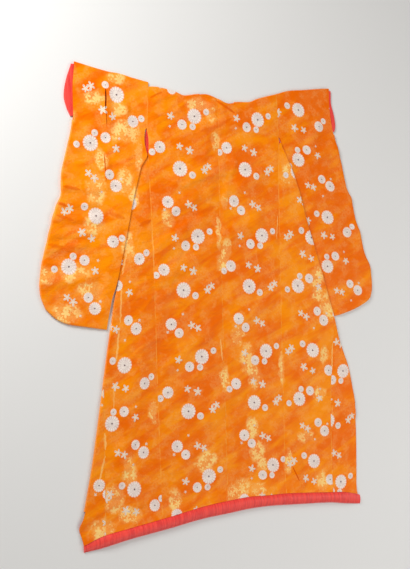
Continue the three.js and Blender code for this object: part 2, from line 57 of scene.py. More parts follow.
def smoothCurve(xs, ys, at):  # the same smooth line through sections that the solids use
    xs, ys, at = np.array(xs, float), np.array(ys, float), np.asarray(at, dtype=float)
    slopes = np.empty(len(xs))
    slopes[1:-1] = (ys[2:] - ys[:-2]) / (xs[2:] - xs[:-2])
    slopes[0], slopes[-1] = (ys[1] - ys[0]) / (xs[1] - xs[0]), (ys[-1] - ys[-2]) / (xs[-1] - xs[-2])
    i = np.clip(np.searchsorted(xs, at, side="right") - 1, 0, len(xs) - 2)
    span = xs[i + 1] - xs[i]
    t = np.clip((at - xs[i]) / span, 0, 1)
    return ((2 * t**3 - 3 * t**2 + 1) * ys[i] + (t**3 - 2 * t**2 + t) * span * slopes[i]
            + (3 * t**2 - 2 * t**3) * ys[i + 1] + (t**3 - t**2) * span * slopes[i + 1])


# node helpers: each returns the socket that carries on
def newNode(tree, kind, **settings):
    node = tree.nodes.new(kind)
    for name, value in settings.items():
        setattr(node, name, value)
    return node


def plug(tree, socket, value):
    if hasattr(value, "is_linked"):
        tree.links.new(value, socket)
    elif value is not None:
        socket.default_value = value


def calc(tree, operation, a, b=None, c=None, clamp=False):
    node = newNode(tree, "ShaderNodeMath", operation=operation, use_clamp=clamp)
    for socket, value in zip(node.inputs, (a, b, c)):
        plug(tree, socket, value)
    return node.outputs[0]


def vectorCalc(tree, operation, a, b=None, c=None):
    node = newNode(tree, "ShaderNodeVectorMath", operation=operation)
    for socket, value in zip(node.inputs, (a, b, c)):
        plug(tree, socket, value)
    return node.outputs["Value" if operation in ("LENGTH", "DISTANCE", "DOT_PRODUCT") else "Vector"]


def times(tree, a, b):
    return calc(tree, "MULTIPLY", a, b)


def timesPlus(tree, a, b, c, clamp=False):
    return calc(tree, "MULTIPLY_ADD", a, b, c, clamp)


def minus(tree, a, b):
    return calc(tree, "SUBTRACT", a, b)


def vectorTimes(tree, a, b):
    return vectorCalc(tree, "MULTIPLY", a, b)


def vectorMinus(tree, a, b):
    return vectorCalc(tree, "SUBTRACT", a, b)


def scaled(tree, vector, factor):
    socket = vectorCalc(tree, "SCALE", vector)
    plug(tree, socket.node.inputs["Scale"], factor)
    return socket


def split(tree, vector):
    node = newNode(tree, "ShaderNodeSeparateXYZ")
    tree.links.new(vector, node.inputs[0])
    return node.outputs


def remap(tree, value, low, high, toLow=0.0, toHigh=1.0):
    node = newNode(tree, "ShaderNodeMapRange", interpolation_type="SMOOTHSTEP")
    for socket, v in zip(node.inputs, (value, low, high, toLow, toHigh)):
        plug(tree, socket, v)
    return node.outputs["Result"]


def fade(tree, value, low, high, full=1.0):  # full up to low, nothing past high
    return remap(tree, value, low, high, full, 0.0)


def blendColour(tree, factor, a, b):
    node = newNode(tree, "ShaderNodeMix", data_type="RGBA")
    plug(tree, node.inputs["Factor"], factor)
    plug(tree, node.inputs["A"], a if hasattr(a, "is_linked") else (*a, 1.0))
    plug(tree, node.inputs["B"], b if hasattr(b, "is_linked") else (*b, 1.0))
    return node.outputs["Result"]


def noise(tree, vector, scale, detail=2.0, roughness=0.5, distortion=0.0):
    node = newNode(tree, "ShaderNodeTexNoise")
    plug(tree, node.inputs["Vector"], vector)
    settings = {"Scale": scale, "Detail": detail, "Roughness": roughness, "Distortion": distortion}
    for name, value in settings.items():
        node.inputs[name].default_value = value
    return node.outputs["Fac"]


def wandering(tree, place, perMetre, reach):  # the same place, pushed about unevenly
    node = newNode(tree, "ShaderNodeTexNoise")
    plug(tree, node.inputs["Vector"], place)
    node.inputs["Scale"].default_value = perMetre
    push = vectorMinus(tree, node.outputs["Color"], (0.5, 0.5, 0.5))
    return vectorCalc(tree, "ADD", place, vectorTimes(tree, push, reach))


def newGroup(name, inputs, outputs):
    tree = bpy.data.node_groups.new(name, "ShaderNodeTree")
    for label, kind in inputs:
        tree.interface.new_socket(name=label, in_out="INPUT", socket_type="NodeSocket" + kind)
    for label in outputs:
        tree.interface.new_socket(name=label, in_out="OUTPUT", socket_type="NodeSocketFloat")
    return tree, newNode(tree, "NodeGroupInput").outputs, newNode(tree, "NodeGroupOutput").inputs


def useGroup(tree, group, **values):
    node = newNode(tree, "ShaderNodeGroup", node_tree=group)
    for name, value in values.items():
        plug(tree, node.inputs[name], value)
    return node.outputs


# the woven repeat, as wide as the cloth: places and radii in centimetres from the left back panel's seam
repeat = {"width": 31.7, "height": 50.0, "turnStep": 2.4,
          "flowers": [(-11.0, 20.2, 3.35), (-5.5, 22.4, 1.45), (-16.8, 16.3, 2.25), (-12.0, 15.8, 1.5),
                      (-27.0, 6.4, 2.6), (-30.4, 4.2, 1.5), (-18.3, -2.0, 3.4), (-13.0, -4.4, 1.6),
                      (-24.3, -15.9, 2.65), (-20.9, -19.6, 2.15)],
          "leaves": [(-21.8, 19.2, 1.9), (-18.3, 7.4, 1.8), (-13.4, 5.8, 2.1), (-7.4, -2.2, 2.1),
                     (-5.4, -0.2, 1.9), (-15.0, -16.8, 1.9), (-12.6, -17.8, 1.8), (-22.2, 15.2, 0.7),
                     (-19.0, -12.0, 0.7), (-26.0, -19.2, 0.8)]}


def nearestMotif(tree, pattern, motifs):  # offset from the nearest motif of the repeat, in its own radii
    half = (repeat["width"] * cm / 2, repeat["height"] * cm / 2, 20.0)
    best = offset = None
    for number, (x, y, radius) in enumerate(motifs):
        middle = (x * cm, y * cm, -repeat["turnStep"] * number)  # the third number carries its turn
        wrapped = vectorCalc(tree, "WRAP", vectorMinus(tree, pattern, middle), half, tuple(-h for h in half))
        inRadii = vectorTimes(tree, wrapped, (1 / (radius * cm), 1 / (radius * cm), 1.0))
        distance = vectorCalc(tree, "LENGTH", vectorTimes(tree, inRadii, (1.0, 1.0, 0.0)))
        if best is None:
            best, offset = distance, inRadii
            continue
        mixer = newNode(tree, "ShaderNodeMix", data_type="VECTOR")
        plug(tree, mixer.inputs["Factor"], calc(tree, "LESS_THAN", distance, best))
        tree.links.new(offset, mixer.inputs[4])
        tree.links.new(inRadii, mixer.inputs[5])
        offset, best = mixer.outputs[1], calc(tree, "MINIMUM", best, distance)
    return best, offset


def angleOf(tree, offset):
    parts = split(tree, offset)
    return calc(tree, "ADD", calc(tree, "ARCTAN2", parts[1], parts[0]), parts[2])


# edges and lines of a flower, in its radii
flowerShape = {"petals": 16, "edge": 0.86, "scallop": 0.11, "roundness": 0.55, "edgeFade": (-0.06, 0.04),
               "rimFade": (-0.24, -0.02), "ring": 0.46, "ringScallop": 0.12, "ringFade": (-0.02, 0.02),
               "outerLine": (0.05, 0.45), "innerLine": (0.05, 0.6), "ringLine": (0.0, 0.08),
               "centre": (0.05, 0.15)}


def makeFlowerGroup():  # round flowers with two rings of petals
    s = flowerShape
    tree, given, out = newGroup("chrysanthemumRepeat", [("Pattern", "Vector")],
                                ["Flower", "Petal line", "Centre", "Ring", "Rim"])
    distance, offset = nearestMotif(tree, given["Pattern"], repeat["flowers"])
    petalTurn = times(tree, angleOf(tree, offset), s["petals"] / 2)
    lobe = calc(tree, "ABSOLUTE", calc(tree, "SINE", petalTurn))
    innerLobe = calc(tree, "ABSOLUTE", calc(tree, "COSINE", petalTurn))
    edge = timesPlus(tree, calc(tree, "POWER", lobe, s["roundness"]), s["scallop"], s["edge"])
    past = minus(tree, distance, edge)
    pastRing = minus(tree, distance, timesPlus(tree, innerLobe, s["ringScallop"], s["ring"]))
    line = newNode(tree, "ShaderNodeMix", data_type="FLOAT")
    lines = (fade(tree, pastRing, *s["ringFade"]), fade(tree, lobe, *s["outerLine"]),
             fade(tree, innerLobe, *s["innerLine"]))
    for socket, value in zip(line.inputs[:1] + line.inputs[2:4], lines):
        plug(tree, socket, value)
    masks = {"Flower": fade(tree, past, *s["edgeFade"]), "Rim": remap(tree, past, *s["rimFade"]),
             "Petal line": line.outputs[0], "Centre": fade(tree, distance, *s["centre"]),
             "Ring": fade(tree, calc(tree, "ABSOLUTE", pastRing), *s["ringLine"])}
    for name, mask in masks.items():
        plug(tree, out[name], mask)
    return tree


leafShape = {"points": 5, "waist": 0.34, "reach": 0.76, "sharpness": 1.6, "lopsided": 0.16,
             "edgeFade": (-0.05, 0.05), "vein": (0.94, 1.0)}  # in its radii


def makeLeafGroup():
    s = leafShape
    tree, given, out = newGroup("leafRepeat", [("Pattern", "Vector")], ["Leaf", "Vein"])
    distance, offset = nearestMotif(tree, given["Pattern"], repeat["leaves"])
    angle = angleOf(tree, offset)
    point = calc(tree, "ABSOLUTE", calc(tree, "COSINE", times(tree, angle, s["points"] / 2)))
    uneven = timesPlus(tree, calc(tree, "SINE", angle), s["lopsided"], 1 - s["lopsided"])
    reach = timesPlus(tree, calc(tree, "POWER", point, s["sharpness"]), s["reach"], s["waist"])
    past = minus(tree, distance, times(tree, reach, uneven))
    plug(tree, out["Leaf"], fade(tree, past, *s["edgeFade"]))
    plug(tree, out["Vein"], remap(tree, point, *s["vein"]))
    return tree


foliageShape = {"points": 5, "waist": 0.22, "reach": 0.46, "edgeFade": (-0.06, 0.08), "missing": 0.15,
                "warpPerMetre": 130.0, "warp": 0.006, "clumpsPerMetre": 14.0, "clump": (0.44, 0.54)}


def makeFoliageGroup():  # sprays of small gold leaves behind the flowers
    s = foliageShape
    tree, given, out = newGroup("goldFoliage", [("Pattern", "Vector"), ("Per metre", "Float")],
                                ["Foliage", "Clump"])
    pattern, perMetre = given["Pattern"], given["Per metre"]
    cells = newNode(tree, "ShaderNodeTexVoronoi", feature="F1")
    warped = wandering(tree, pattern, s["warpPerMetre"], (s["warp"],) * 3)
    plug(tree, cells.inputs["Vector"], warped)
    plug(tree, cells.inputs["Scale"], perMetre)
    middles = scaled(tree, cells.outputs["Position"], perMetre)
    fromCentre = vectorMinus(tree, scaled(tree, warped, perMetre), middles)
    parts = split(tree, fromCentre)
    chance = newNode(tree, "ShaderNodeSeparateColor")
    tree.links.new(cells.outputs["Color"], chance.inputs[0])
    leafTurn = timesPlus(tree, chance.outputs[0], math.tau, calc(tree, "ARCTAN2", parts[1], parts[0]))
    point = calc(tree, "ABSOLUTE", calc(tree, "COSINE", times(tree, leafTurn, s["points"] / 2)))
    edge = timesPlus(tree, point, s["reach"], s["waist"])
    leaf = fade(tree, minus(tree, vectorCalc(tree, "LENGTH", fromCentre), edge), *s["edgeFade"])
    present = calc(tree, "GREATER_THAN", chance.outputs[1], s["missing"])
    plug(tree, out["Foliage"], times(tree, leaf, present))
    plug(tree, out["Clump"], remap(tree, noise(tree, pattern, s["clumpsPerMetre"]), *s["clump"]))
    return tree


groundShape = {"curlsPerMetre": 130.0, "warpPerMetre": 60.0, "warp": 0.012, "curlLine": (0.02, 0.16),
               "clumpsPerMetre": 16.0, "clump": (0.46, 0.62), "grainPerMetre": 420.0, "grain": (0.44, 0.6),
               "sheenStreakTurn": (0.0, 0.0, math.radians(28)), "sheenStreakSize": (0.22, 0.055, 1.0),
               "broadPerMetre": 4.5, "broadShare": 0.35}


def makeGroundGroup():  # tone on tone figure of the satin ground, its gold specks, and its uneven colour with painted sheen in diagonal streaks
    s = groundShape
    tree, given, out = newGroup("damaskGround", [("Pattern", "Vector"), ("Place", "Vector")],
                                ["Figure", "Spray", "Tone"])
    pattern, place = given["Pattern"], given["Place"]
    curls = newNode(tree, "ShaderNodeTexVoronoi", feature="DISTANCE_TO_EDGE")
    plug(tree, curls.inputs["Vector"], wandering(tree, pattern, s["warpPerMetre"], (s["warp"],) * 3))
    curls.inputs["Scale"].default_value = s["curlsPerMetre"]
    lines = fade(tree, curls.outputs["Distance"], *s["curlLine"])
    clumps = remap(tree, noise(tree, pattern, s["clumpsPerMetre"], 3.0, 0.6), *s["clump"])
    plug(tree, out["Figure"], times(tree, lines, clumps))
    grain = remap(tree, noise(tree, pattern, s["grainPerMetre"], 2.0, 0.7), *s["grain"])
    plug(tree, out["Spray"], times(tree, lines, grain))
    # painted sheen: lighter and darker bands in diagonal streaks
    streaks = newNode(tree, "ShaderNodeMapping", vector_type="TEXTURE")
    for name, value in {"Vector": place, "Rotation": s["sheenStreakTurn"], "Scale": s["sheenStreakSize"]}.items():
        plug(tree, streaks.inputs[name], value)
    broad = noise(tree, place, s["broadPerMetre"], 2.0, 0.5, 0.3)
    fine = noise(tree, streaks.outputs["Vector"], 1.0, 4.0, 0.6, 0.35)
    tone = timesPlus(tree, broad, s["broadShare"], times(tree, fine, 1 - s["broadShare"]))
    plug(tree, out["Tone"], tone)
    return tree


def makeThreadGroup(warpHeight=0.35, weftHeight=0.15):  # fine warp and weft of the satin, as a height
    tree, given, out = newGroup("satinThreads", [("Pattern", "Vector"), ("Per metre", "Float")], ["Height"])
    parts = split(tree, given["Pattern"])
    turns = times(tree, given["Per metre"], math.tau)
    warp = calc(tree, "SINE", times(tree, parts[0], turns))
    weft = calc(tree, "SINE", times(tree, parts[1], times(tree, turns, 0.5)))
    plug(tree, out["Height"], timesPlus(tree, warp, warpHeight, times(tree, weft, weftHeight)))
    return tree


flowerGroup, leafGroup, foliageGroup = makeFlowerGroup(), makeLeafGroup(), makeFoliageGroup()
groundGroup, threadGroup = makeGroundGroup(), makeThreadGroup()
print("pattern groups ready")

# the cut and the lie of the garment, in millimetres from the middle of the back; +x is the wearer's right
garment = {"clothWall": 2.0, "seamGap": 0.4, "hemGap": 0.8, "layerLift": 3.4, "overlapLift": 5.8,
           "softEdge": 3.0, "softWidth": 50.0, "edgeInset": 4.0, "neckHalf": 85.0, "collarWidth": 55.0,
           "hemRise": 5.0, "hemRiseWidth": 60.0, "margin": 40.0, "ramp": 45.0, "overlapRamp": 110.0,
           "underarmRamp": 34.0, "shoulderRise": (600, 655), "sleeveFoot": (-150, -60),
           "bareFoot": (-175, -150),
           "cell": 7.0, "frontColumns": 34, "sleeveColumns": 44, "overlapColumns": 20, "underColumns": 10,
           "seamPuff": 0.9, "seamPuffWidth": 16.0, "pucker": 0.35, "puckerSize": 26.0, "puckerReach": 30.0,
           "slowRipple": 0.9, "slowSize": 120.0, "fineRipple": 0.35, "fineSize": 42.0, "turnSteps": 7}

shoulderLine = [  # x, y
    (-318, 800), (-274, 801), (-200, 790), (-159, 777), (-101, 786), (-51, 792), (0, 779), (51, 762),
    (99, 769), (164, 774), (198, 788), (229, 798), (302, 818)]
hemSeamLine = [  # x, y
    (-651, -990), (-574, -967), (-457, -954), (-273, -935), (-126, -917), (0, -910), (97, -908),
    (207, -915), (317, -922), (537, -948), (610, -957), (683, -975), (705, -983)]
hemLowerLine = [  # x, y
    (-651, -1018), (-574, -1013), (-457, -998), (-273, -982), (-126, -967), (0, -963), (97, -959),
    (207, -962), (317, -972), (537, -994), (610, -1008), (683, -1020), (705, -1023)]

# the rest of the lines are the same for both halves in kind: y, then the distance across (m) from the middle
leftLines = {
    "sign": -1, "armholeEnd": 634, "sideSeamTop": 518, "turnTop": 508, "seamMeet": -390, "edgeTurn": -860,
    "collarTipY": 540, "collarEnd": (430, -240), "underarm": [(358, 560), (340, 600)], "cuffEnd": 646,
    "sideSeam": [(820, 318), (634, 332), (596, 326), (560, 326), (518, 330), (250, 322), (-400, 315),
                 (-940, 310)],
    "edge": [(515, 372), (400, 399), (270, 431), (150, 458), (0, 484), (-70, 499), (-160, 515), (-240, 530),
             (-310, 542), (-390, 556), (-480, 571), (-565, 586), (-680, 607), (-830, 640), (-885, 655),
             (-922, 673), (-960, 664), (-1000, 655)],
    "overlapSeam": [(-450, 553), (-560, 555), (-720, 556), (-970, 560)],
    "sleeveInner": [(634, 338), (605, 346), (575, 347), (545, 341), (522, 336), (500, 350), (478, 364),
                    (430, 379), (350, 402), (214, 434), (86, 466), (6, 487), (-50, 508), (-164, 531)],
    "sleeveOuter": [(870, 640), (780, 650), (646, 652), (598, 660), (502, 686), (438, 702), (358, 706),
                    (302, 730), (238, 750), (150, 774), (94, 790), (14, 800), (-30, 797), (-75, 780)],
    "sleeveTop": [(322, 818), (394, 830), (450, 840), (500, 844), (640, 870)],  # m, y
    "sleeveBottom": [(531, -164), (610, -150), (690, -136), (738, -114), (780, -75)],  # m, y
    "cuff": [(860, 8), (800, 22), (735, 30), (690, 20), (664, 7)]}  # y, how far it stands out
rightLines = {
    "sign": 1, "armholeEnd": 634, "sideSeamTop": 594, "turnTop": 515, "seamMeet": -140, "edgeTurn": -560,
    "collarTipY": 530, "collarEnd": (470, -240), "underarm": [(338, 572), (318, 606)], "cuffEnd": 660,
    "sideSeam": [(820, 302), (634, 308), (560, 301), (250, 298), (-400, 297), (-940, 296)],
    "edge": [(515, 362), (400, 407), (270, 443), (150, 483), (0, 531), (-70, 552), (-160, 580), (-240, 600),
             (-310, 626), (-390, 656), (-480, 676), (-565, 692), (-680, 698), (-830, 696), (-885, 694),
             (-922, 692), (-960, 691), (-1000, 698)],
    "overlapSeam": [(-280, 573), (-380, 566), (-480, 556), (-700, 552), (-950, 552)],
    "sleeveInner": [(634, 313), (600, 327), (554, 346), (400, 385), (200, 436), (0, 492), (-170, 532)],
    "sleeveOuter": [(866, 594), (790, 594), (694, 606), (598, 630), (534, 650), (462, 666), (398, 684),
                    (374, 700), (254, 730), (206, 750), (126, 770), (62, 798), (6, 808), (-42, 808),
                    (-78, 798)],
    "frontTop": [(301, 594), (313, 617), (324, 595), (342, 555), (362, 515)],  # m, y
    "sleeveTop": [(306, 820), (366, 838), (450, 848), (550, 862), (594, 866)],  # m, y
    "sleeveBottom": [(532, -170), (646, -144), (710, -126), (774, -98), (798, -78)],  # m, y
    "cuff": [(856, 6), (800, 7), (750, 17), (704, 17), (678, 7)]}  # y, how far it stands out

# soft folds: from x, y to x, y, how far each side reaches, height
folds = [
    (-290, 150, -90, 265, 52, 5), (-250, 305, -60, 385, 50, 4), (-200, 420, 60, 500, 56, 5),
    (40, 380, 210, 470, 52, 4), (-60, 650, 120, 690, 50, 4), (-30, 745, 90, 722, 34, 4),
    (-280, 30, -120, 110, 50, 4), (-20, 180, 180, 270, 55, 5), (-260, -330, -90, -210, 55, 4),
    (60, -170, 230, -80, 55, 4), (-80, -560, 60, -430, 58, 4), (330, 210, 410, 250, 45, 3),
    (360, -780, 380, -890, 36, 7), (170, -720, 200, -880, 50, 4), (-480, -640, -420, -860, 48, 5),
    (-200, -700, -170, -880, 50, 4), (420, -420, 500, -300, 50, 4), (-430, -420, -370, -240, 46, 4),
    (-700, 392, -560, 378, 30, 5), (-715, 318, -570, 330, 30, 5), (-735, 268, -560, 262, 30, 5),
    (-752, 205, -590, 214, 32, 5), (-775, 150, -620, 168, 32, 4), (-780, 20, -590, 40, 36, 4),
    (-508, 765, -500, 620, 34, 6), (-522, 500, -512, 400, 32, 5), (-470, 560, -420, 700, 45, 4),
    (-640, 540, -560, 620, 42, 3), (620, 590, 500, 560, 42, 4), (700, 380, 560, 400, 42, 4),
    (745, 230, 600, 260, 42, 4), (780, 60, 640, 90, 44, 4), (520, 700, 470, 580, 44, 3)]

# narrower creases that run along and between the folds; the last number is how far the middle bows aside
creases = [
    (-300, 160, -170, 240, 15, 1.6, 8), (-240, 300, -100, 360, 13, 1.5, -6),
    (-170, 410, 30, 462, 14, 1.8, 10), (-120, 452, 40, 488, 11, 1.2, -8), (30, 370, 75, 500, 20, 1.8, 6),
    (-260, 200, -140, 262, 10, 1.0, 4), (-310, 735, -210, 775, 12, 2.2, 6),
    (-300, 700, -180, 722, 14, 1.6, -8), (10, 770, 90, 728, 10, 2.4, -5),
    (-290, 660, -215, 690, 11, 1.3, 4), (-60, 560, 110, 604, 16, 1.5, 10),
    (110, 500, 250, 560, 15, 1.4, -8), (150, 640, 280, 700, 16, 1.6, 8), (60, 250, 190, 322, 14, 1.4, 8),
    (160, 120, 280, 190, 14, 1.3, -6), (-300, -60, -150, 20, 16, 1.4, 8),
    (-120, -20, 20, 60, 14, 1.2, -6), (-60, -180, 90, -110, 15, 1.4, 8), (120, -30, 260, 60, 15, 1.2, -8),
    (-290, -190, -180, -120, 13, 1.2, 5), (-200, -420, -40, -330, 16, 1.4, 8),
    (20, -330, 180, -250, 15, 1.3, -8), (180, -260, 290, -180, 13, 1.2, 5),
    (-300, -520, -180, -440, 14, 1.3, 6), (-30, -640, 120, -560, 15, 1.3, -7),
    (160, -520, 290, -450, 14, 1.2, 6), (-260, -760, -120, -680, 15, 1.4, 8),
    (40, -820, 190, -760, 15, 1.3, -8), (-150, -880, -60, -800, 12, 1.5, 6),
    (230, -900, 262, -810, 12, 1.8, 5), (-390, 60, -330, 130, 12, 1.2, 5),
    (-400, -120, -330, -40, 13, 1.2, -5), (-470, -330, -380, -250, 13, 1.4, 6),
    (-520, -560, -420, -480, 14, 1.5, 8), (-560, -760, -440, -700, 14, 1.6, -8),
    (-610, -890, -500, -850, 13, 1.8, 6), (330, 120, 440, 170, 14, 1.4, 6),
    (340, -60, 470, 20, 15, 1.3, -8), (350, -240, 500, -170, 15, 1.4, 8),
    (380, -560, 540, -500, 15, 1.3, -7), (400, -700, 530, -650, 14, 1.4, 6),
    (590, -620, 660, -560, 13, 1.4, 5), (600, -800, 680, -740, 13, 1.5, -5),
    (570, -420, 640, -360, 12, 1.2, 4), (-600, 700, -520, 735, 12, 1.5, 5),
    (-640, 480, -560, 470, 10, 1.8, 4), (-690, 350, -610, 352, 9, 1.8, 3),
    (-720, 292, -640, 290, 9, 1.7, -3), (-745, 236, -660, 240, 9, 1.6, 3),
    (-770, 100, -690, 92, 11, 1.4, -4), (-640, -60, -560, -90, 14, 1.4, 6),
    (640, 420, 560, 440, 11, 1.4, 4), (660, 330, 600, 322, 10, 1.3, -3), (720, 160, 640, 180, 12, 1.4, 5),
    (760, 0, 680, 20, 12, 1.3, -4), (560, 620, 470, 640, 13, 1.3, 5), (560, 760, 470, 740, 13, 1.4, -5),
    (470, 500, 440, 400, 12, 1.2, 5), (560, 120, 520, 20, 13, 1.2, -5), (700, -60, 620, -100, 13, 1.4, 5)]

# tucks: the cloth climbs towards the line and drops off it on one side; from x, y to x, y, climb, height
tucks = [
    (-505, 770, -506, 630, -30, 4.2), (-524, 505, -518, 398, -26, 3.4), (-372, 270, -330, 252, 14, 2.2),
    (-382, 182, -338, 170, 14, 2.0), (352, -800, 372, -884, 16, 3.0), (-306, 788, -226, 752, 16, 2.6),
    (-300, 120, -302, 40, 12, 1.4), (4, 772, 76, 730, 18, 3.2), (350, 590, 380, 520, 12, 1.6),
    (-556, -300, -566, -420, 14, 1.8), (-300, -600, -296, -700, -12, 1.4), (292, -60, 292, -180, 12, 1.4)]

turn = math.radians


def lineThrough(points):
    xs, ys = zip(*sorted(points))
    return lambda value: smoothCurve(xs, ys, value)


shoulderY, hemSeamY, hemLowerY = map(lineThrough, (shoulderLine, hemSeamLine, hemLowerLine))


def mix(a, b, t):
    return a + (b - a) * t


def ridges(table, x, y):
    height = np.zeros(np.shape(x))
    for x0, y0, x1, y1, width, rise, *bow in table:
        dx, dy = x1 - x0, y1 - y0
        t = ((x - x0) * dx + (y - y0) * dy) / (dx * dx + dy * dy)
        inside = np.clip(t, 0, 1)
        shift = sum(bow) * 4 * inside * (1 - inside) / math.hypot(dx, dy)
        away = np.hypot(x - x0 - inside * dx + dy * shift, y - y0 - inside * dy - dx * shift) / width
        height += rise * np.where(away < 1, (1 - away**2) ** 2, 0)
    return height


def tuckHeight(x, y):
    height = np.zeros(np.shape(x))
    for x0, y0, x1, y1, climb, rise in tucks:
        dx, dy = x1 - x0, y1 - y0
        length = math.hypot(dx, dy)
        t = ((x - x0) * dx + (y - y0) * dy) / length**2
        across = ((y - y0) * dx - (x - x0) * dy) / length / climb
        ends = smoothStep(0, 0.25, t) * smoothStep(0, 0.25, 1 - t)
        height += rise * ends * np.where((across > 0) & (across < 1), (1 - across) ** 2, 0)
    return height


def ripple(x, y, size, seed):  # small uneven undulation, from -1 to 1
    flat = zip(np.ravel(x) / size, np.ravel(y) / size)
    return np.array([mathNoise.noise(Vector((a, b, seed))) for a, b in flat]).reshape(np.shape(x))


def prepareHalf(lines):
    half, g = dict(lines), garment
    for key in ("sideSeam", "sleeveInner", "sleeveOuter", "sleeveTop", "sleeveBottom", "cuff"):
        half[key] = lineThrough(lines[key])
    half["frontTop"] = lineThrough(lines["frontTop"]) if "frontTop" in lines else None
    outline = lineThrough(lines["edge"])
    half["edge"] = lambda y: outline(y) - g["edgeInset"]
    meet = (lines["seamMeet"], float(half["edge"](lines["seamMeet"])))
    half["seam"] = lineThrough([meet, *lines["overlapSeam"]])
    half["neck"] = np.array((g["neckHalf"], float(shoulderY(lines["sign"] * g["neckHalf"]))))
    half["collarEnd"] = np.array(lines["collarEnd"], float)
    half["apex"] = np.array((float(half["edge"](lines["edgeTurn"])) - 10, lines["edgeTurn"]))
    (endM, endY), (neckM, neckY) = half["collarEnd"], half["neck"]
    fraction = (lines["collarTipY"] - endY) / (neckY - endY)
    half["collarTip"] = np.array((mix(endM, neckM, fraction), lines["collarTipY"]))
    half["ends"] = {key: (lines[key][0], lines[key][-1]) for key in ("sleeveTop", "sleeveBottom", "cuff")}
    return half


def freeEdge(half, y):  # where a front ends under the back: collar line, then the plain edge
    (neckM, neckY), (endM, endY), (apexM, apexY) = half["neck"], half["collarEnd"], half["apex"]
    above = endM + (y - endY) / (neckY - endY) * (neckM - endM)
    return np.where(y > endY, above, mix(apexM, endM, np.clip((y - apexY) / (endY - apexY), 0, 1)))


def overSleeve(half, m, y):  # the right front passes over the right sleeve
    if half["sign"] < 0:
        return np.zeros(np.shape(m))
    g, inner, bottom = garment, half["sleeveInner"](y), half["ends"]["sleeveBottom"][0][1]
    rampStart = g["margin"] + g["overlapRamp"]
    return (g["overlapLift"] * smoothStep(inner - rampStart, inner - g["margin"], m)
            * smoothStep(0, g["underarmRamp"], half["armholeEnd"] - y)
            * smoothStep(bottom - rampStart, bottom - g["margin"], y))


def overFront(half, m, y):  # the left sleeve passes over the left front
    if half["sign"] > 0:
        return np.zeros(np.shape(m))
    g, edge = garment, half["edge"](y) + garment["edgeInset"]
    return (g["overlapLift"] * (1 - smoothStep(edge + g["margin"], edge + g["margin"] + g["ramp"], m))
            * smoothStep(0, g["underarmRamp"], half["armholeEnd"] - y) * smoothStep(*g["sleeveFoot"], y))


def bodySeams(half):  # centre back, side seam and overlap seam, as places across
    overlapAt = lambda y: np.where(y < half["seamMeet"], half["seam"](y), 1e4)
    return [lambda y: 0 * y, half["sideSeam"], overlapAt]


def awayFrom(lines, m, y):
    return np.min([np.abs(m - line(y)) for line in lines], axis=0)


def seamPuff(half, m, y, lines):  # cloth swells a little beside a seam and puckers along it
    g, away = garment, awayFrom(lines, m, y)
    pucker = g["pucker"] * ripple(half["sign"] * m, y, g["puckerSize"], 3.0)
    pucker = pucker * np.exp(-away / g["puckerReach"])
    return g["seamPuff"] * smoothStep(0, g["seamPuffWidth"], away) + np.maximum(pucker + 0.2, 0)


def clothRelief(half, m, y):
    g, x = garment, half["sign"] * m
    slow = g["slowRipple"] * ripple(x + 0.5 * y, y - 0.3 * x, g["slowSize"], 1.0)
    slow = slow + g["fineRipple"] * ripple(x + y, 0.45 * (y - x), g["fineSize"], 7.0)
    return ridges(folds, x, y) + ridges(creases, x, y) + tuckHeight(x, y) + np.maximum(slow + 0.5, 0)


def upperHeight(half, m, y):  # underside of the cloth that shows
    g, sleeveEdge = garment, half["sleeveInner"](y)
    collarEdge, turnEdge = g["collarWidth"] + g["margin"], half["edgeTurn"] - g["margin"]
    overCollar = 1 - smoothStep(collarEdge, collarEdge + g["ramp"], freeEdge(half, y) - m)
    overUnder = smoothStep(turnEdge - g["ramp"], turnEdge, y)
    lift = g["layerLift"] * np.maximum(overCollar, smoothStep(*g["shoulderRise"], y)) * overUnder
    uncovered = 1 if half["sign"] > 0 else smoothStep(0, 80, -y)
    soft = g["softEdge"] * (1 - smoothStep(0, g["softWidth"], half["edge"](y) - m)) * overUnder * uncovered
    rise = g["hemRise"] * (1 - smoothStep(0, g["hemRiseWidth"], y - hemSeamY(half["sign"] * m)))
    underSleeve = 0 if half["sign"] > 0 else smoothStep(sleeveEdge - 45, sleeveEdge - 5, m)
    free = 1 - underSleeve * smoothStep(*g["bareFoot"], y)
    relief = clothRelief(half, m, y) + seamPuff(half, m, y, bodySeams(half))
    return np.maximum(lift, rise) + soft + overSleeve(half, m, y) + relief * free


def layer(half, plan, height, up):  # points on the middle of the cloth, and which way its face looks
    m, y = plan[..., 0], plan[..., 1]
    grid = np.stack([half["sign"] * m, y, height + garment["clothWall"] / 2], -1)
    return grid, np.broadcast_to((0.0, 0.0, 1.0 if up else -1.0), grid.shape)


def upper(half, plan):
    return layer(half, plan, upperHeight(half, plan[..., 0], plan[..., 1]), True)


def under(half, plan):
    return layer(half, plan, overSleeve(half, plan[..., 0], plan[..., 1]), False)


def steps(low, high, count):
    return list(np.linspace(low, high, count + 1)[1:])


def stepsFor(low, high, length, cell):
    return steps(low, high, max(1, math.ceil(abs(length) / cell)))


def onLine(line, ys):
    ys = np.asarray(ys, float)
    return np.stack([line(ys), ys], -1)


def between(a, b, count):  # rows of plan points on a straight line
    return a + (b - a) * np.linspace(0, 1, count)[:, None]


def spread(path, cell):  # even points along a broken line
    path = np.asarray(path, float)
    lengths = np.concatenate([[0], np.cumsum(np.hypot(*np.diff(path, axis=0).T))])
    at = np.linspace(0, lengths[-1], max(2, math.ceil(lengths[-1] / cell) + 1))
    at = np.unique(np.round(np.concatenate([at, lengths]), 6))
    return np.stack([np.interp(at, lengths, path[:, k]) for k in (0, 1)], -1)


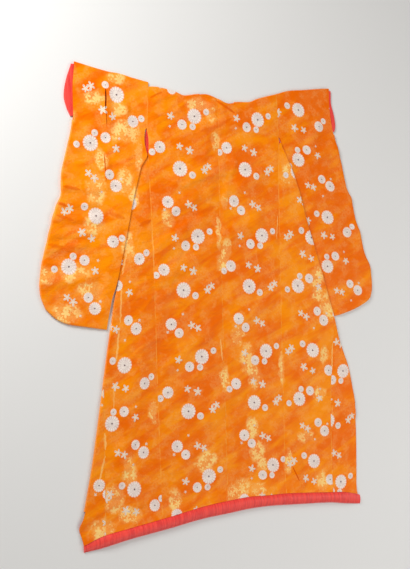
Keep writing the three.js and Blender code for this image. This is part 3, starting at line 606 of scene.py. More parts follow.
def panel(inner, outer, across, bottom=None, top=None):  # rows of plan points; its end rows follow two lines
    rows, u = np.linspace(0, 1, len(inner))[:, None], np.asarray(across, float)[None, :]
    plan = inner[:, None] + (outer - inner)[:, None] * u[..., None]
    for line, row, weight in ((bottom, 0, (1 - rows) ** 2), (top, -1, rows**2)):
        if line:
            a, b = inner[row, 0], outer[row, 0]
            plan[..., 1] += weight * (line(mix(a, b, u)) - mix(line(a), line(b), u))
    return plan


def turned(uppers, lowers, outward):  # cloth turned from an upper row round to the row under it
    above, below, outward = uppers[0], lowers[0], np.asarray(outward, float)
    angles = np.radians(np.linspace(90, -90, garment["turnSteps"]))[:, None]
    radius, middle = (above[:, 2] - below[:, 2]) / 2, (above[:, 2] + below[:, 2]) / 2
    out = np.broadcast_to(outward, (len(above), 2))[None]
    plan = above[None, :, :2] + out * (radius * np.cos(angles))[..., None]
    grid = np.concatenate([plan, (middle + radius * np.sin(angles))[..., None]], -1)
    upwards = np.broadcast_to(np.sin(angles), grid.shape[:2])[..., None]
    facing = np.concatenate([out * np.cos(angles)[..., None], upwards], -1)
    grid[-1] = below
    return grid, facing


def rowOf(piece, *at):
    return piece[0][at], piece[1][at]


def addPiece(name, vertices, faces, finishes, materials, sharpAngle=50, seamAway=None, edgeTurn=None):
    mesh = bpy.data.meshes.new(name)
    place = np.array((middleX / mm, middleY / mm, 0))
    mesh.from_pydata((vertices + place) * mm, [], faces)
    for label, values in (("seamAway", seamAway), ("edgeTurn", edgeTurn)):
        if values is not None:
            mesh.attributes.new(label, "FLOAT", "POINT").data.foreach_set("value", np.float32(values))
    for material in materials:
        mesh.materials.append(material)
    mesh.polygons.foreach_set("material_index", finishes)
    mesh.shade_smooth()
    mesh.set_sharp_from_angle(angle=turn(sharpAngle))
    piece = bpy.data.objects.new(name, mesh)
    bpy.context.scene.collection.objects.link(piece)
    return piece


# closed wall from patches of points on its middle, each with the finish of its outer face
def clothPiece(name, patches, thickness, materials, lining, seamsOf=None):
    points, facing, quads, finishes, start = [], [], [], [], 0
    for (grid, normals), finish in patches:
        rows, columns = grid.shape[:2]
        index = start + np.arange(rows * columns).reshape(rows, columns)
        corners = index[:-1, :-1], index[:-1, 1:], index[1:, 1:], index[1:, :-1]
        quads.append(np.stack(corners, -1).reshape(-1, 4))
        finishes += [finish] * len(quads[-1])
        points.append(grid.reshape(-1, 3))
        facing.append(np.reshape(normals, (-1, 3)))
        start += rows * columns
    points, facing, quads = map(np.concatenate, (points, facing, quads))
    keys = np.floor(points * 400 + 0.31).astype(np.int64)
    _, first, welded = np.unique(keys, axis=0, return_index=True, return_inverse=True)
    points, facing, quads = points[first], facing[first], welded.reshape(-1)[quads]
    p = points[quads]
    looks = np.einsum("ij,ij->i", np.cross(p[:, 2] - p[:, 0], p[:, 3] - p[:, 1]), facing[quads].sum(1))
    quads = np.where(looks[:, None] > 0, quads, quads[:, ::-1]).tolist()
    count, faces, shown, edges = len(points), [], [], {}
    for quad, finish in zip(quads, finishes):
        corners = [c for i, c in enumerate(quad) if c != quad[i - 1]]
        if len(corners) < 3:
            continue
        faces.append(corners)
        shown.append(finish)
        edges.update({(a, corners[i - len(corners) + 1]): finish for i, a in enumerate(corners)})
    insides = [[c + count for c in reversed(corners)] for corners in faces]
    rims = [((b, a, a + count, b + count), finish) for (a, b), finish in edges.items() if (b, a) not in edges]
    vertices = np.concatenate([points + facing * thickness / 2, points - facing * thickness / 2])
    allFaces = faces + insides + [list(face) for face, _ in rims]
    allFinishes = shown + [lining] * len(insides) + [finish for _, finish in rims]
    # seamAway is how far a point of the upper face lies from its seams, for the painted seam highlight
    away = seamsOf(points[:, 0], points[:, 1]) if seamsOf else np.full(count, 1e3)
    away = np.where(facing[:, 2] > 0.5, np.minimum(away, 1e3), 1e3) * mm
    # edgeTurn is how far a point faces sideways; the satin paints a lighter highlight there
    edgeTurn = np.hypot(facing[:, 0], facing[:, 1])
    return addPiece(name, vertices, allFaces, allFinishes, materials,
                    seamAway=np.tile(away, 2), edgeTurn=np.concatenate([edgeTurn, 0 * edgeTurn]))


# finishes, each with its own values; places are in the scene's metres
# painted light in satin: seam and edge are highlight colours, crease and shadow are shade colours, and light
# and deep span the uneven colour and its painted sheen
satin = {"light": (1.0, 0.285, 0.001), "deep": (0.90, 0.145, 0.0), "figureColour": (0.86, 0.27, 0.06),
         "gold": (1.0, 0.66, 0.22), "flower": (0.94, 0.83, 0.74), "rim": (0.94, 0.58, 0.46),
         "tint": (0.78, 0.62, 0.56), "petalLine": (0.38, 0.23, 0.22), "centre": (0.16, 0.08, 0.10),
         "leaf": (0.88, 0.72, 0.56), "seam": (1.0, 0.44, 0.07), "edge": (0.95, 0.40, 0.12),
         "creaseShade": (0.78, 0.105, 0.0), "shadow": (0.05, 0.008, 0.003),
         "tone": (0.40, 0.64), "brightPatch": 0.10, "figure": 0.24, "streak": 0.75, "goldFill": 0.22,
         "goldLeaves": 0.75, "goldSpecks": 0.5, "foliagePerMetre": 36.0, "foliageEverywhere": 0.14,
         "fringePerMetre": 70.0, "fringe": (0.012, 0.006, 0.0), "tintPerMetre": 30.0, "tinted": (0.05, 0.55),
         "rimShare": 0.6, "petalLineShare": 0.42, "ringShare": 0.35, "veinShare": 0.5, "edgeHighlightShare": 0.5,
         "seamGlintWidth": (0.0006, 0.0034), "seamGlintBreaksPerMetre": 26.0, "creaseShadeGain": 2.4, "shadowFrom": 0.36,
         "roughness": 0.40, "wovenRoughness": 0.16, "figureRoughness": 0.15, "specularLevel": 0.2,
         "specularTint": (1.0, 0.50, 0.18, 1.0), "sheen": 0.02, "sheenRoughness": 0.4,
         "sheenTint": (1.0, 0.42, 0.12, 1.0), "creasesPerMetre": (30.0, 60.0, 0.0), "creaseBump": 0.0035,
         "figureHeight": 0.6, "wovenBump": 0.0006, "threadsPerMetre": 1500.0, "threadBump": 0.00008}
redLiningLook = {"light": (0.95, 0.060, 0.040), "deep": (0.76, 0.032, 0.028), "tone": (0.33, 0.62),
                 "tonePerMetre": (150.0, 12.0, 12.0), "gathersPerMetre": (110.0, 14.0, 14.0),
                 "threadsPerMetre": 1700.0, "threadBump": 0.00008, "roughness": 0.39, "toneRoughness": 0.15,
                 "sheen": 0.4, "sheenRoughness": 0.35}

# how the repeat lies on each length, in cm: its corner, one step across and along it, and the skirt's flare
patternLie = {
    "backRight": ((0.0, 1.4), (1.008, -0.056), (-0.012, 0.997), (0.040, 0.014)),
    "backLeft": ((0.5, -0.3), (1.034, -0.013), (-0.005, 0.994), (0.044, -0.003)),
    "frontRight": ((27.3, -30.0), (-1.010, 0.138), (-0.010, -1.000), (-0.003, 0.021)),
    "frontLeft": ((-63.5, -34.1), (-0.953, -0.062), (0.012, -0.994), (0.060, 0.012)),
    "sleeveRight": ((24.5, 71.5), (-0.973, -0.143), (0.289, -0.946), (0.0, 0.0)),
    "sleeveLeft": ((-64.7, 78.0), (-0.986, 0.229), (-0.205, -0.958), (0.0, 0.0)),
    "overlapRight": ((72.4, -61.7), (0.999, -0.052), (0.052, 0.999), (0.0, 0.0)),
    "overlapLeft": ((-34.0, -60.9), (1.0, 0.0), (0.0, 1.0), (0.0, 0.0))}
flareFrom = -0.20  # metres up the back where the skirt starts to flare

# lengths that look a little yellower or redder than the back
lengthTone = {"frontRight": 0.02, "sleeveRight": -0.06, "sleeveLeft": 0.03, "overlapRight": -0.04}

# where gold thread covers the orange: x, y, how far across and along, in centimetres
goldPatches = [
    (-46, 82, 3.5, 2), (-56, 74, 4, 2.5), (-45.5, 70.5, 3, 3), (-43, 61, 6, 4), (-54, 50, 2.5, 4),
    (-37.5, 52, 2, 5), (-44, 42, 3, 5), (-56, 38, 4, 6), (-57.5, 24, 4, 4), (-39.5, 36, 2, 4),
    (-43, 15, 2.5, 6), (-67, 5.5, 6, 2.5), (-77, 5, 3, 3), (-60, -1, 5, 3), (-69.8, -10, 6, 4),
    (-34, -51, 2, 4), (-45, -73, 3, 6), (-52, -83, 4, 5), (-45, -90, 5, 3), (-57.5, -94, 5, 4),
    (-25, -88, 3, 5), (-9.7, -73, 5, 4), (3, -88, 3, 4), (-9, 74.6, 6, 3), (-3.4, 71, 3, 3),
    (-1.2, 60, 2, 4), (2.5, 34, 1.5, 3), (-1, 22, 1.2, 6), (3, 15, 2.5, 4), (0.5, 8.6, 3, 4),
    (34.7, 48, 3.5, 4), (48.5, 1, 4, 5), (49, -5, 3, 4), (53, -9, 3, 4), (55, -14, 3, 3),
    (11.7, -32, 3.5, 6), (14.5, -40, 3, 5), (13.2, -62, 3, 4), (15.4, -72, 3.5, 4), (17.8, -78, 3, 3),
    (7, -22, 3, 4), (7, -86, 4, 4), (0, -40, 2, 5), (29, -38, 1.5, 6), (51.8, -33, 2, 4),
    (31.5, -78, 2, 5), (49, -89, 3, 4), (41, -68, 4, 3), (14.5, -88, 4, 3), (49, -50, 3, 3),
    (-25, 27, 3, 3), (-66, 66, 2, 3)]

# narrow streaks of the same thread along the straight grain: from x, y to x, y, half width, strength
goldStreaks = [
    (-43, 17, -45.8, 5, 0.55, 0.8), (-46.4, 1, -47.4, -14, 0.6, 0.7), (-48, -17, -49.6, -29, 0.7, 0.8),
    (-50.6, -38, -51.4, -48, 0.5, 0.5), (-55.2, -57, -55.3, -63, 0.7, 0.8),
    (-55.6, -66, -58, -75, 0.6, 0.8), (-1.6, 28, -0.4, 18, 0.6, 0.9), (-1.4, -23, -0.8, -32, 0.45, 0.8),
    (-0.2, -37, 0, -43, 0.8, 0.6), (28.9, 29, 28.2, 19, 0.35, 0.7), (29.2, -30, 28.8, -44, 0.6, 0.7),
    (56.9, -28, 56.4, -40, 0.5, 0.8), (-32.2, 22, -31.8, 8, 0.3, 0.5), (56, -56, 55.9, -66, 0.35, 0.5)]

# where the satin catches the light and looks yellower: x, y, how far across and along, in centimetres
brightPatches = [
    (36, 40, 7, 20), (5, 43, 5, 9), (-42, 46, 9, 12), (-40, 20, 6, 9), (10, 30, 8, 8), (-12, 48, 8, 5),
    (-58, 20, 8, 8), (16, 62, 8, 5), (-20, -30, 8, 6), (-6, -55, 9, 6), (40, 6, 6, 8), (20, -88, 9, 6)]

# painted shade along pressed-in folds and short creases: from x, y to x, y and half width, in centimetres,
# and darkness
foldShadows = [
    (-51.1, 77.6, -51.4, 70.0, 0.42, 1.0), (-51.4, 70.6, -50.9, 62.5, 0.16, 0.9),
    (-52.4, 52.0, -52.0, 41.5, 0.3, 0.6), (33.4, -80.6, 36.6, -87.4, 0.35, 0.5),
    (-31.3, 75.7, -28.8, 77.2, 0.7, 0.28), (-28.8, 77.2, -26.0, 78.4, 0.6, 0.25),
    (-0.4, 76.9, 8.0, 72.3, 0.8, 0.35), (-8.2, 63.6, -1.0, 65.6, 1.3, 0.2),
    (-1.0, 65.6, 6.4, 69.8, 1.2, 0.22), (-13.0, 29.0, -2.3, 32.4, 1.3, 0.2),
    (-37.6, 24.1, -32.9, 26.4, 1.3, 0.3), (-69.7, 38.9, -63.3, 37.9, 1.0, 0.26),
    (-72.6, 32.6, -69.0, 31.6, 1.0, 0.36), (-72.5, 27.8, -66.2, 26.0, 1.1, 0.24),
    (-76.2, 16.7, -69.9, 15.3, 1.1, 0.24), (-50.5, 29.0, -44.7, 27.0, 1.3, 0.2),
    (-41.0, -26.6, -30.0, -21.4, 1.2, 0.16), (-42.4, -18.4, -34.1, -13.4, 1.2, 0.16),
    (-30.5, -74.6, -26.6, -73.0, 0.8, 0.24)]


def startMaterial(name):
    material = bpy.data.materials.new(name)
    material.use_nodes = True
    tree = material.node_tree
    tree.nodes.clear()
    shader = newNode(tree, "ShaderNodeBsdfPrincipled")
    output = newNode(tree, "ShaderNodeOutputMaterial")
    tree.links.new(shader.outputs["BSDF"], output.inputs["Surface"])
    own = newNode(tree, "ShaderNodeTexCoord").outputs["Object"]
    return material, tree, shader.inputs, vectorMinus(tree, own, (middleX, middleY, 0.0))


def bump(tree, height, distance, strength=1.0, normal=None):
    node = newNode(tree, "ShaderNodeBump")
    settings = {"Height": height, "Distance": distance, "Strength": strength, "Normal": normal}
    for name, value in settings.items():
        plug(tree, node.inputs[name], value)
    return node.outputs["Normal"]


def strongest(tree, masks):
    total = masks[0]
    for mask in masks[1:]:
        total = calc(tree, "MAXIMUM", total, mask)
    return total


def makePatchGroup(name, patches, full, none, raggedPerMetre=22.0, ragged=0.05):
    tree, given, out = newGroup(name, [("Place", "Vector")], ["Mask"])
    place, masks = wandering(tree, given["Place"], raggedPerMetre, (ragged, ragged, 0.0)), []
    for x, y, across, up in patches:
        moved = vectorMinus(tree, place, (x * cm, y * cm, 0.0))
        inPatch = vectorTimes(tree, moved, (1 / (across * cm), 1 / (up * cm), 0.0))
        masks.append(fade(tree, vectorCalc(tree, "LENGTH", inPatch), full, none))
    plug(tree, out["Mask"], strongest(tree, masks))
    return tree


def makeLineGroup(name, lines, endWidth=0.45):  # soft lines that narrow towards their ends
    tree, given, out = newGroup(name, [("Place", "Vector")], ["Mask"])
    masks = []
    for x0, y0, x1, y1, wide, strength in lines:
        run = ((x1 - x0) * cm, (y1 - y0) * cm, 0.0)
        moved = vectorTimes(tree, vectorMinus(tree, given["Place"], (x0 * cm, y0 * cm, 0.0)), (1.0, 1.0, 0.0))
        reached = vectorCalc(tree, "DOT_PRODUCT", moved, run)
        along = calc(tree, "DIVIDE", reached, run[0] ** 2 + run[1] ** 2, clamp=True)
        fromMiddle = calc(tree, "ABSOLUTE", minus(tree, along, 0.5))
        width = times(tree, remap(tree, fromMiddle, 0.3, 0.5, 1.0, endWidth), wide * cm)
        away = calc(tree, "DIVIDE", vectorCalc(tree, "DISTANCE", moved, scaled(tree, run, along)), width)
        masks.append(fade(tree, away, 0.15, 1.1, strength))
    plug(tree, out["Mask"], strongest(tree, masks))
    return tree


shadowGroup = makeLineGroup("foldShadows", foldShadows)
streakGroup = makeLineGroup("goldStreaks", goldStreaks)
goldGroup = makePatchGroup("goldPatches", goldPatches, 0.6, 1.4)
brightGroup = makePatchGroup("brightPatches", brightPatches, 0.0, 1.3)


def patternPlace(tree, place, lie):  # from where a point lies to where it is on the repeat
    corner, across, along, flare = patternLie[lie]
    below = calc(tree, "MAXIMUM", minus(tree, flareFrom, split(tree, place)[1]), 0.0)
    spreading = scaled(tree, (*flare, 0.0), times(tree, below, below))
    moved = vectorMinus(tree, vectorMinus(tree, place, spreading), (*(c * cm for c in corner), 0.0))
    joined = newNode(tree, "ShaderNodeCombineXYZ")
    for socket, row in zip(joined.inputs, np.linalg.inv(np.array((across, along)).T)):
        plug(tree, socket, vectorCalc(tree, "DOT_PRODUCT", moved, (*row, 0.0)))
    return joined.outputs[0]


def attribute(tree, name):
    return newNode(tree, "ShaderNodeAttribute", attribute_name=name).outputs["Fac"]


def makeSatin(lie):
    look = satin
    material, tree, sockets, place = startMaterial("satin_" + lie)
    flat = patternPlace(tree, place, lie)
    flower, leaf = useGroup(tree, flowerGroup, Pattern=flat), useGroup(tree, leafGroup, Pattern=flat)
    ground = useGroup(tree, groundGroup, Pattern=flat, Place=place)
    foliage = useGroup(tree, foliageGroup, Pattern=flat, **{"Per metre": look["foliagePerMetre"]})
    threads = useGroup(tree, threadGroup, Pattern=flat, **{"Per metre": look["threadsPerMetre"]})
    gold, bright, shadow = (useGroup(tree, group, Place=place)["Mask"]
                            for group in (goldGroup, brightGroup, shadowGroup))

    # the satin itself: its uneven colour with painted sheen streaks, and painted highlight patches
    yellower = timesPlus(tree, bright, look["brightPatch"], lengthTone.get(lie, 0.0))
    tone = remap(tree, calc(tree, "ADD", ground["Tone"], yellower), *look["tone"])
    colour = blendColour(tree, tone, look["deep"], look["light"])
    figure = times(tree, ground["Figure"], look["figure"])
    colour = blendColour(tree, figure, colour, look["figureColour"])

    # gold thread in leaves, specks and streaks
    inPatch = times(tree, gold, timesPlus(tree, foliage["Clump"], 0.2, 0.8))
    strength = calc(tree, "MAXIMUM", inPatch, times(tree, foliage["Clump"], look["foliageEverywhere"]))
    fringed = wandering(tree, place, look["fringePerMetre"], look["fringe"])
    streak = times(tree, useGroup(tree, streakGroup, Place=fringed)["Mask"], look["streak"])
    filled = timesPlus(tree, ground["Spray"], look["goldSpecks"], look["goldFill"])
    spray = timesPlus(tree, foliage["Foliage"], look["goldLeaves"], filled, clamp=True)
    spray = calc(tree, "MAXIMUM", times(tree, strength, spray), streak)
    colour = blendColour(tree, spray, colour, look["gold"])

    # painted highlight in broken lighter lines along the seams, and painted shade in the creases
    broken = remap(tree, noise(tree, place, look["seamGlintBreaksPerMetre"]), 0.42, 0.6)
    seamLine = fade(tree, attribute(tree, "seamAway"), *look["seamGlintWidth"])
    seamLine = times(tree, seamLine, timesPlus(tree, broken, 0.45, 0.05))
    # painted shade: the creases darken towards a deep red-orange
    creaseShade = calc(tree, "MULTIPLY", shadow, look["creaseShadeGain"], clamp=True)
    for mask, dye in ((seamLine, look["seam"]), (creaseShade, look["creaseShade"])):
        colour = blendColour(tree, mask, colour, dye)

    # flowers and leaves, then a painted highlight on the turned edges and painted shadow in the darkest folds
    tinted = remap(tree, noise(tree, flat, look["tintPerMetre"], 2.0, 0.6), 0.40, 0.66, *look["tinted"])
    petals = blendColour(tree, tinted, look["flower"], look["tint"])
    for mask, share, dye in (("Rim", "rimShare", "rim"), ("Petal line", "petalLineShare", "petalLine"),
                             ("Ring", "ringShare", "petalLine")):
        petals = blendColour(tree, times(tree, flower[mask], look[share]), petals, look[dye])
    petals = blendColour(tree, flower["Centre"], petals, look["centre"])
    leaves = blendColour(tree, times(tree, leaf["Vein"], look["veinShare"]), look["leaf"], look["petalLine"])
    edgeHighlight = times(tree, attribute(tree, "edgeTurn"), look["edgeHighlightShare"])
    darkest = remap(tree, shadow, look["shadowFrom"], 1.0)
    for mask, dye in ((leaf["Leaf"], leaves), (flower["Flower"], petals), (edgeHighlight, look["edge"]),
                      (darkest, look["shadow"])):
        colour = blendColour(tree, mask, colour, dye)
    plug(tree, sockets["Base Color"], colour)

    woven = calc(tree, "MAXIMUM", flower["Flower"], leaf["Leaf"])
    rough = timesPlus(tree, woven, look["wovenRoughness"], look["roughness"])
    plug(tree, sockets["Roughness"], timesPlus(tree, figure, look["figureRoughness"], rough))
    sockets["Sheen Weight"].default_value = look["sheen"]
    sockets["Sheen Roughness"].default_value = look["sheenRoughness"]
    sockets["Sheen Tint"].default_value = look["sheenTint"]
    sockets["Specular Tint"].default_value = look["specularTint"]
    sockets["Specular IOR Level"].default_value = look["specularLevel"]
    raised = times(tree, woven, minus(tree, 1.0, flower["Petal line"]))
    raised = calc(tree, "ADD", raised, times(tree, figure, look["figureHeight"]))
    creased = noise(tree, vectorTimes(tree, place, look["creasesPerMetre"]), 1.0, 4.0, 0.55, 0.8)
    normal = bump(tree, creased, look["creaseBump"], 0.8)
    normal = bump(tree, raised, look["wovenBump"], 0.7, normal)
    plug(tree, sockets["Normal"], bump(tree, threads["Height"], look["threadBump"], 0.5, normal))
    return material


def makeRed(name, gatherBump):
    look = redLiningLook
    material, tree, sockets, place = startMaterial(name)
    threads = useGroup(tree, threadGroup, Pattern=place, **{"Per metre": look["threadsPerMetre"]})
    gathers = noise(tree, vectorTimes(tree, place, look["gathersPerMetre"]), 1.0, 3.0, 0.6, 0.5)
    tone = noise(tree, vectorTimes(tree, place, look["tonePerMetre"]), 1.0, 3.0, 0.6)
    colour = blendColour(tree, remap(tree, tone, *look["tone"]), look["deep"], look["light"])
    plug(tree, sockets["Base Color"], colour)
    plug(tree, sockets["Roughness"], timesPlus(tree, tone, look["toneRoughness"], look["roughness"]))
    sockets["Sheen Weight"].default_value = look["sheen"]
    sockets["Sheen Roughness"].default_value = look["sheenRoughness"]
    normal = bump(tree, gathers, gatherBump)
    plug(tree, sockets["Normal"], bump(tree, threads["Height"], look["threadBump"], 0.5, normal))
    return material


satins = {lie: makeSatin(lie) for lie in patternLie}
redLining, redPadded = makeRed("red_lining", 0.002), makeRed("red_padded", 0.0025)
print("finishes ready")


# body panel and overlap panel of one half: the body is one length from hem to hem over the shoulder
def makeBodyAndOverlap(name, half):
    g, cell, columns = garment, garment["cell"], garment["underColumns"]
    sign, meetY, turnTop, edge = half["sign"], half["seamMeet"], half["turnTop"], half["edge"]
    gap, edgeTurn = g["seamGap"], half["edgeTurn"]
    hemY = lambda m: hemSeamY(sign * m) + g["hemGap"]
    topY = lambda m: shoulderY(sign * m)
    hemEdge = -980.0  # near where the hem meets the edge; found more closely in four steps
    for _ in range(4):
        hemEdge = float(hemY(edge(hemEdge)))
    meet = (meetY - hemEdge) / (turnTop - hemEdge)
    turnFraction = meet * (edgeTurn - hemEdge) / (meetY - hemEdge)
    height = turnTop - hemEdge
    parts = (0, turnFraction), (turnFraction, meet), (meet, 1)
    lower = np.array([0.0, *(row for a, b in parts for row in stepsFor(a, b, (b - a) * height, cell))])
    meetRow, turnRow = (int(np.argmin(np.abs(lower - at))) for at in (meet, turnFraction))

    hemSide, topSide = float(hemY(half["sideSeam"](-930))), float(topY(half["sideSeam"](810)))
    sideTop, armholeEnd = half["sideSeamTop"], half["armholeEnd"]
    above = [stepsFor(a, b, b - a, cell) for a, b in ((sideTop, armholeEnd), (armholeEnd, topSide))]
    sideYs = np.concatenate([mix(hemSide, sideTop, lower), *above])
    side = onLine(half["sideSeam"], sideYs)
    up = (sideYs - hemSide) / (topSide - hemSide)
    centre = np.stack([np.full(len(up), gap / 2), mix(hemY(0), topY(0), up)], -1)
    neckFraction = g["neckHalf"] / side[-1, 0]
    neckSteps = stepsFor(0, neckFraction, g["neckHalf"], cell)
    backAcross = [0.0, *neckSteps, *stepsFor(neckFraction, 1, side[-1, 0] - g["neckHalf"], cell)]
    back = upper(half, panel(centre, side, backAcross, hemY, topY))

    atSeam = mix(hemY(half["seam"](-950)), meetY, lower / meet)
    atEdge = mix(meetY, turnTop, (lower - meet) / (1 - meet))
    onSeam = (np.arange(len(lower)) < meetRow)[:, None]
    outer = np.where(onSeam, onLine(half["seam"], atSeam), onLine(edge, atEdge))
    frontAcross = [0.0, *steps(0, 1, g["frontColumns"])]
    front = upper(half, panel(side[:len(lower)], outer, frontAcross, hemY, half["frontTop"]))

    # the same cloth turned under its edge and on up to the shoulder
    turnedEdge = outer[meetRow:]
    tip, neck = half["collarTip"], half["neck"]
    underAcross = (np.array(backAcross[len(neckSteps):]) - neckFraction) / (1 - neckFraction)
    underFront = under(half, panel(between(turnedEdge[0], tip, len(turnedEdge)), turnedEdge, underAcross))
    armhole = spread([outer[-1], *half["underarm"], *side[sideYs > armholeEnd - 1e-3]], cell)
    yokePlan = panel(between(tip, neck, len(armhole)), armhole, underAcross, None, topY)
    backTop = back[0][-1, len(neckSteps):]
    yokePlan[-1] = np.stack([sign * backTop[:, 0], backTop[:, 1]], -1)
    yoke = under(half, yokePlan)
    whole = slice(None)
    edgeTurned = turned(rowOf(front, slice(meetRow, None), -1), rowOf(underFront, whole, -1), (sign, 0))
    shoulder = turned((backTop, None), rowOf(yoke, -1), (0, 1))

    # overlap panel: its seam side is the front's own points moved out by the gap
    overlapTip = outer[meetRow] + (gap, -3 * gap)
    overlapInner = np.concatenate([outer[:meetRow] + (gap, 0), [overlapTip]])
    overlapOuter = onLine(edge, mix(hemEdge, overlapTip[1], lower[:meetRow + 1] / meet))
    overlapOuter[meetRow], overlapOuter[turnRow] = overlapTip, (edge(edgeTurn), edgeTurn)
    overlapAcross = [0.0, *steps(0, 1, g["overlapColumns"])]
    overlap = upper(half, panel(overlapInner, overlapOuter, overlapAcross, hemY))
    overlapTurn = overlapOuter[turnRow:]
    bendRow, rows = round(0.35 * (len(overlapTurn) - 1)), len(overlapTurn)
    tipBelow = tip + (0, -1.5 * gap)
    free = np.concatenate([between(half["apex"], half["collarEnd"], bendRow + 1),
                           between(half["collarEnd"], tipBelow, rows - bendRow)[1:]])
    underOverlap = under(half, panel(free, overlapTurn, [0.0, *steps(0, 1, columns)]))
    turnedPart = rowOf(overlap, slice(turnRow, None), -1)
    overlapTurned = turned(turnedPart, rowOf(underOverlap, whole, -1), (sign, 0))

    finishes = [satins["back" + name], satins["front" + name], redLining]
    body = clothPiece("body_panel_" + name.lower(),
                      [(back, 0), (front, 1), (edgeTurned, 1), (underFront, 1), (yoke, 1), (shoulder, 0)],
                      g["clothWall"], finishes, 2, lambda x, y: awayFrom(bodySeams(half), abs(x), y))
    overlapPiece = clothPiece("overlap_panel_" + name.lower(),
                              [(patch, 0) for patch in (overlap, overlapTurned, underOverlap)],
                              g["clothWall"], [satins["overlap" + name], redLining], 1,
                              lambda x, y: awayFrom(bodySeams(half)[2:], abs(x), y))
    return body, overlapPiece, side


def outwardOf(path, turnSign):
    ahead, behind = np.roll(path, -1, 0), np.roll(path, 1, 0)
    ahead[-1], behind[0] = path[-1], path[0]
    d = ahead - behind
    return turnSign * np.stack([d[:, 1], -d[:, 0]], -1) / np.hypot(d[:, 0], d[:, 1])[:, None]


# a flat pocket, open at the cuff and down its inner side
def makeSleeve(name, half, side):
    g, cell, sign, inner = garment, garment["cell"], half["sign"], half["sleeveInner"]
    (_, topInner), (_, topOuter) = half["ends"]["sleeveTop"]
    (_, bottomInner), (_, bottomOuter) = half["ends"]["sleeveBottom"]
    armhole = side[side[:, 1] > half["armholeEnd"] - 1e-3][::-1].copy()
    armhole[0, 1] = topInner
    cuffFraction = (topOuter - half["cuffEnd"]) / (topOuter - bottomOuter)
    cuffInner = mix(topInner, bottomInner, cuffFraction)
    toCuff = stepsFor(armhole[-1, 1], cuffInner, armhole[-1, 1] - cuffInner, cell)
    cuffRow = len(armhole) - 1 + len(toCuff)
    below = mix(topInner, bottomInner, np.array(stepsFor(cuffFraction, 1, cuffInner - bottomInner, cell)))
    innerRows = np.concatenate([armhole + (g["seamGap"], 0), onLine(inner, [*toCuff, *below])])
    down = (topInner - innerRows[:, 1]) / (topInner - bottomInner)
    down[:cuffRow + 1] = np.linspace(0, cuffFraction, cuffRow + 1)
    outerRows = onLine(lambda y: half["sleeveOuter"](y) - g["edgeInset"], mix(topOuter, bottomOuter, down))
    across = [0.0, *steps(0, 1, g["sleeveColumns"])]
    plan = panel(innerRows, outerRows, across, half["sleeveTop"], half["sleeveBottom"])
    m, y = plan[..., 0], plan[..., 1]

    toRim = np.where((np.arange(len(plan)) >= cuffRow)[:, None], outerRows[:, :1] - m, 1e3)
    nearRim = 1 - smoothStep(0, g["softWidth"], np.minimum(toRim, y - y[-1]))
    softness = g["softEdge"] * nearRim * smoothStep(half["edge"](y) + 15, half["edge"](y) + 60, m)
    seamLine = lambda at: np.where(at > half["armholeEnd"], half["sideSeam"](at), 1e4)
    relief = clothRelief(half, m, y) + seamPuff(half, m, y, [seamLine])
    relief = relief * smoothStep(inner(y) + 50, inner(y) + 90, m)
    lift = overFront(half, m, y)
    lowers = layer(half, plan, lift, False)
    uppers = layer(half, plan, lift + g["layerLift"] + relief + softness, True)
    rim = lambda grid: np.concatenate([grid[0][cuffRow:-1, -1], grid[0][-1, ::-1]])
    topTurn = turned(rowOf(uppers, 0), rowOf(lowers, 0), (0, 1))
    rimTurn = turned((rim(uppers), None), (rim(lowers), None), outwardOf(rim(uppers)[:, :2], -sign))
    piece = clothPiece("sleeve_panel_" + name.lower(), [(uppers, 0), (lowers, 0), (topTurn, 0), (rimTurn, 0)],
                       g["clothWall"], [satins["sleeve" + name], redLining], 1,
                       lambda x, y: awayFrom([seamLine], abs(x), y))
    return piece, outerRows[:cuffRow + 1]


cuffRolls = {"wall": 2.6, "lipGap": 0.6, "puff": 1.6, "fullWidth": 30, "ripple": 0.8, "rippleSize": 11.0,
             "clearance": 0.6, "rows": 46, "columns": 8}


# padded lining edge of a cuff: two lips, joined at the top and at the bottom of the opening
def makeCuffRoll(name, half, mouth):
    c, outLine, mouthLine = cuffRolls, half["cuff"], lineThrough([(y, m) for m, y in mouth])
    (first, _), (last, _) = half["ends"]["cuff"]
    heights, u = np.linspace(first, last, c["rows"])[:, None], np.linspace(0, 1, c["columns"])[None, :]
    reach = garment["edgeInset"] + outLine(heights)
    plan = np.stack(np.broadcast_arrays(mouthLine(heights) + c["clearance"] + reach * u, heights), -1)
    rounded = c["puff"] * (1 - (2 * u - 1) ** 2) * outLine(heights) / c["fullWidth"]
    gathers = np.maximum(ripple(plan[..., 0] * 0.3, plan[..., 1], c["rippleSize"], 5.0), 0)
    drawn = c["ripple"] * gathers * np.sin(np.pi * u)
    lowers = layer(half, plan, np.zeros(plan.shape[:2]), False)
    uppers = layer(half, plan, c["wall"] + c["lipGap"] + rounded + drawn, True)
    for grid, _ in (lowers, uppers):
        grid[..., 2] += (c["wall"] - garment["clothWall"]) / 2
    patches = [uppers, lowers, turned(rowOf(uppers, 0), rowOf(lowers, 0), (0, 1)),
               turned(rowOf(uppers, -1), rowOf(lowers, -1), (0, -1))]
    patches = [(patch, 0) for patch in patches]
    return clothPiece("cuff_lining_" + name.lower(), patches, c["wall"], [redPadded], 0)


collar = {"thickness": 3.0, "innerHalf": 46.0, "neckInset": 3.0, "archEnd": 0.85, "columns": 9, "armRows": 90,
          "archRows": 22}


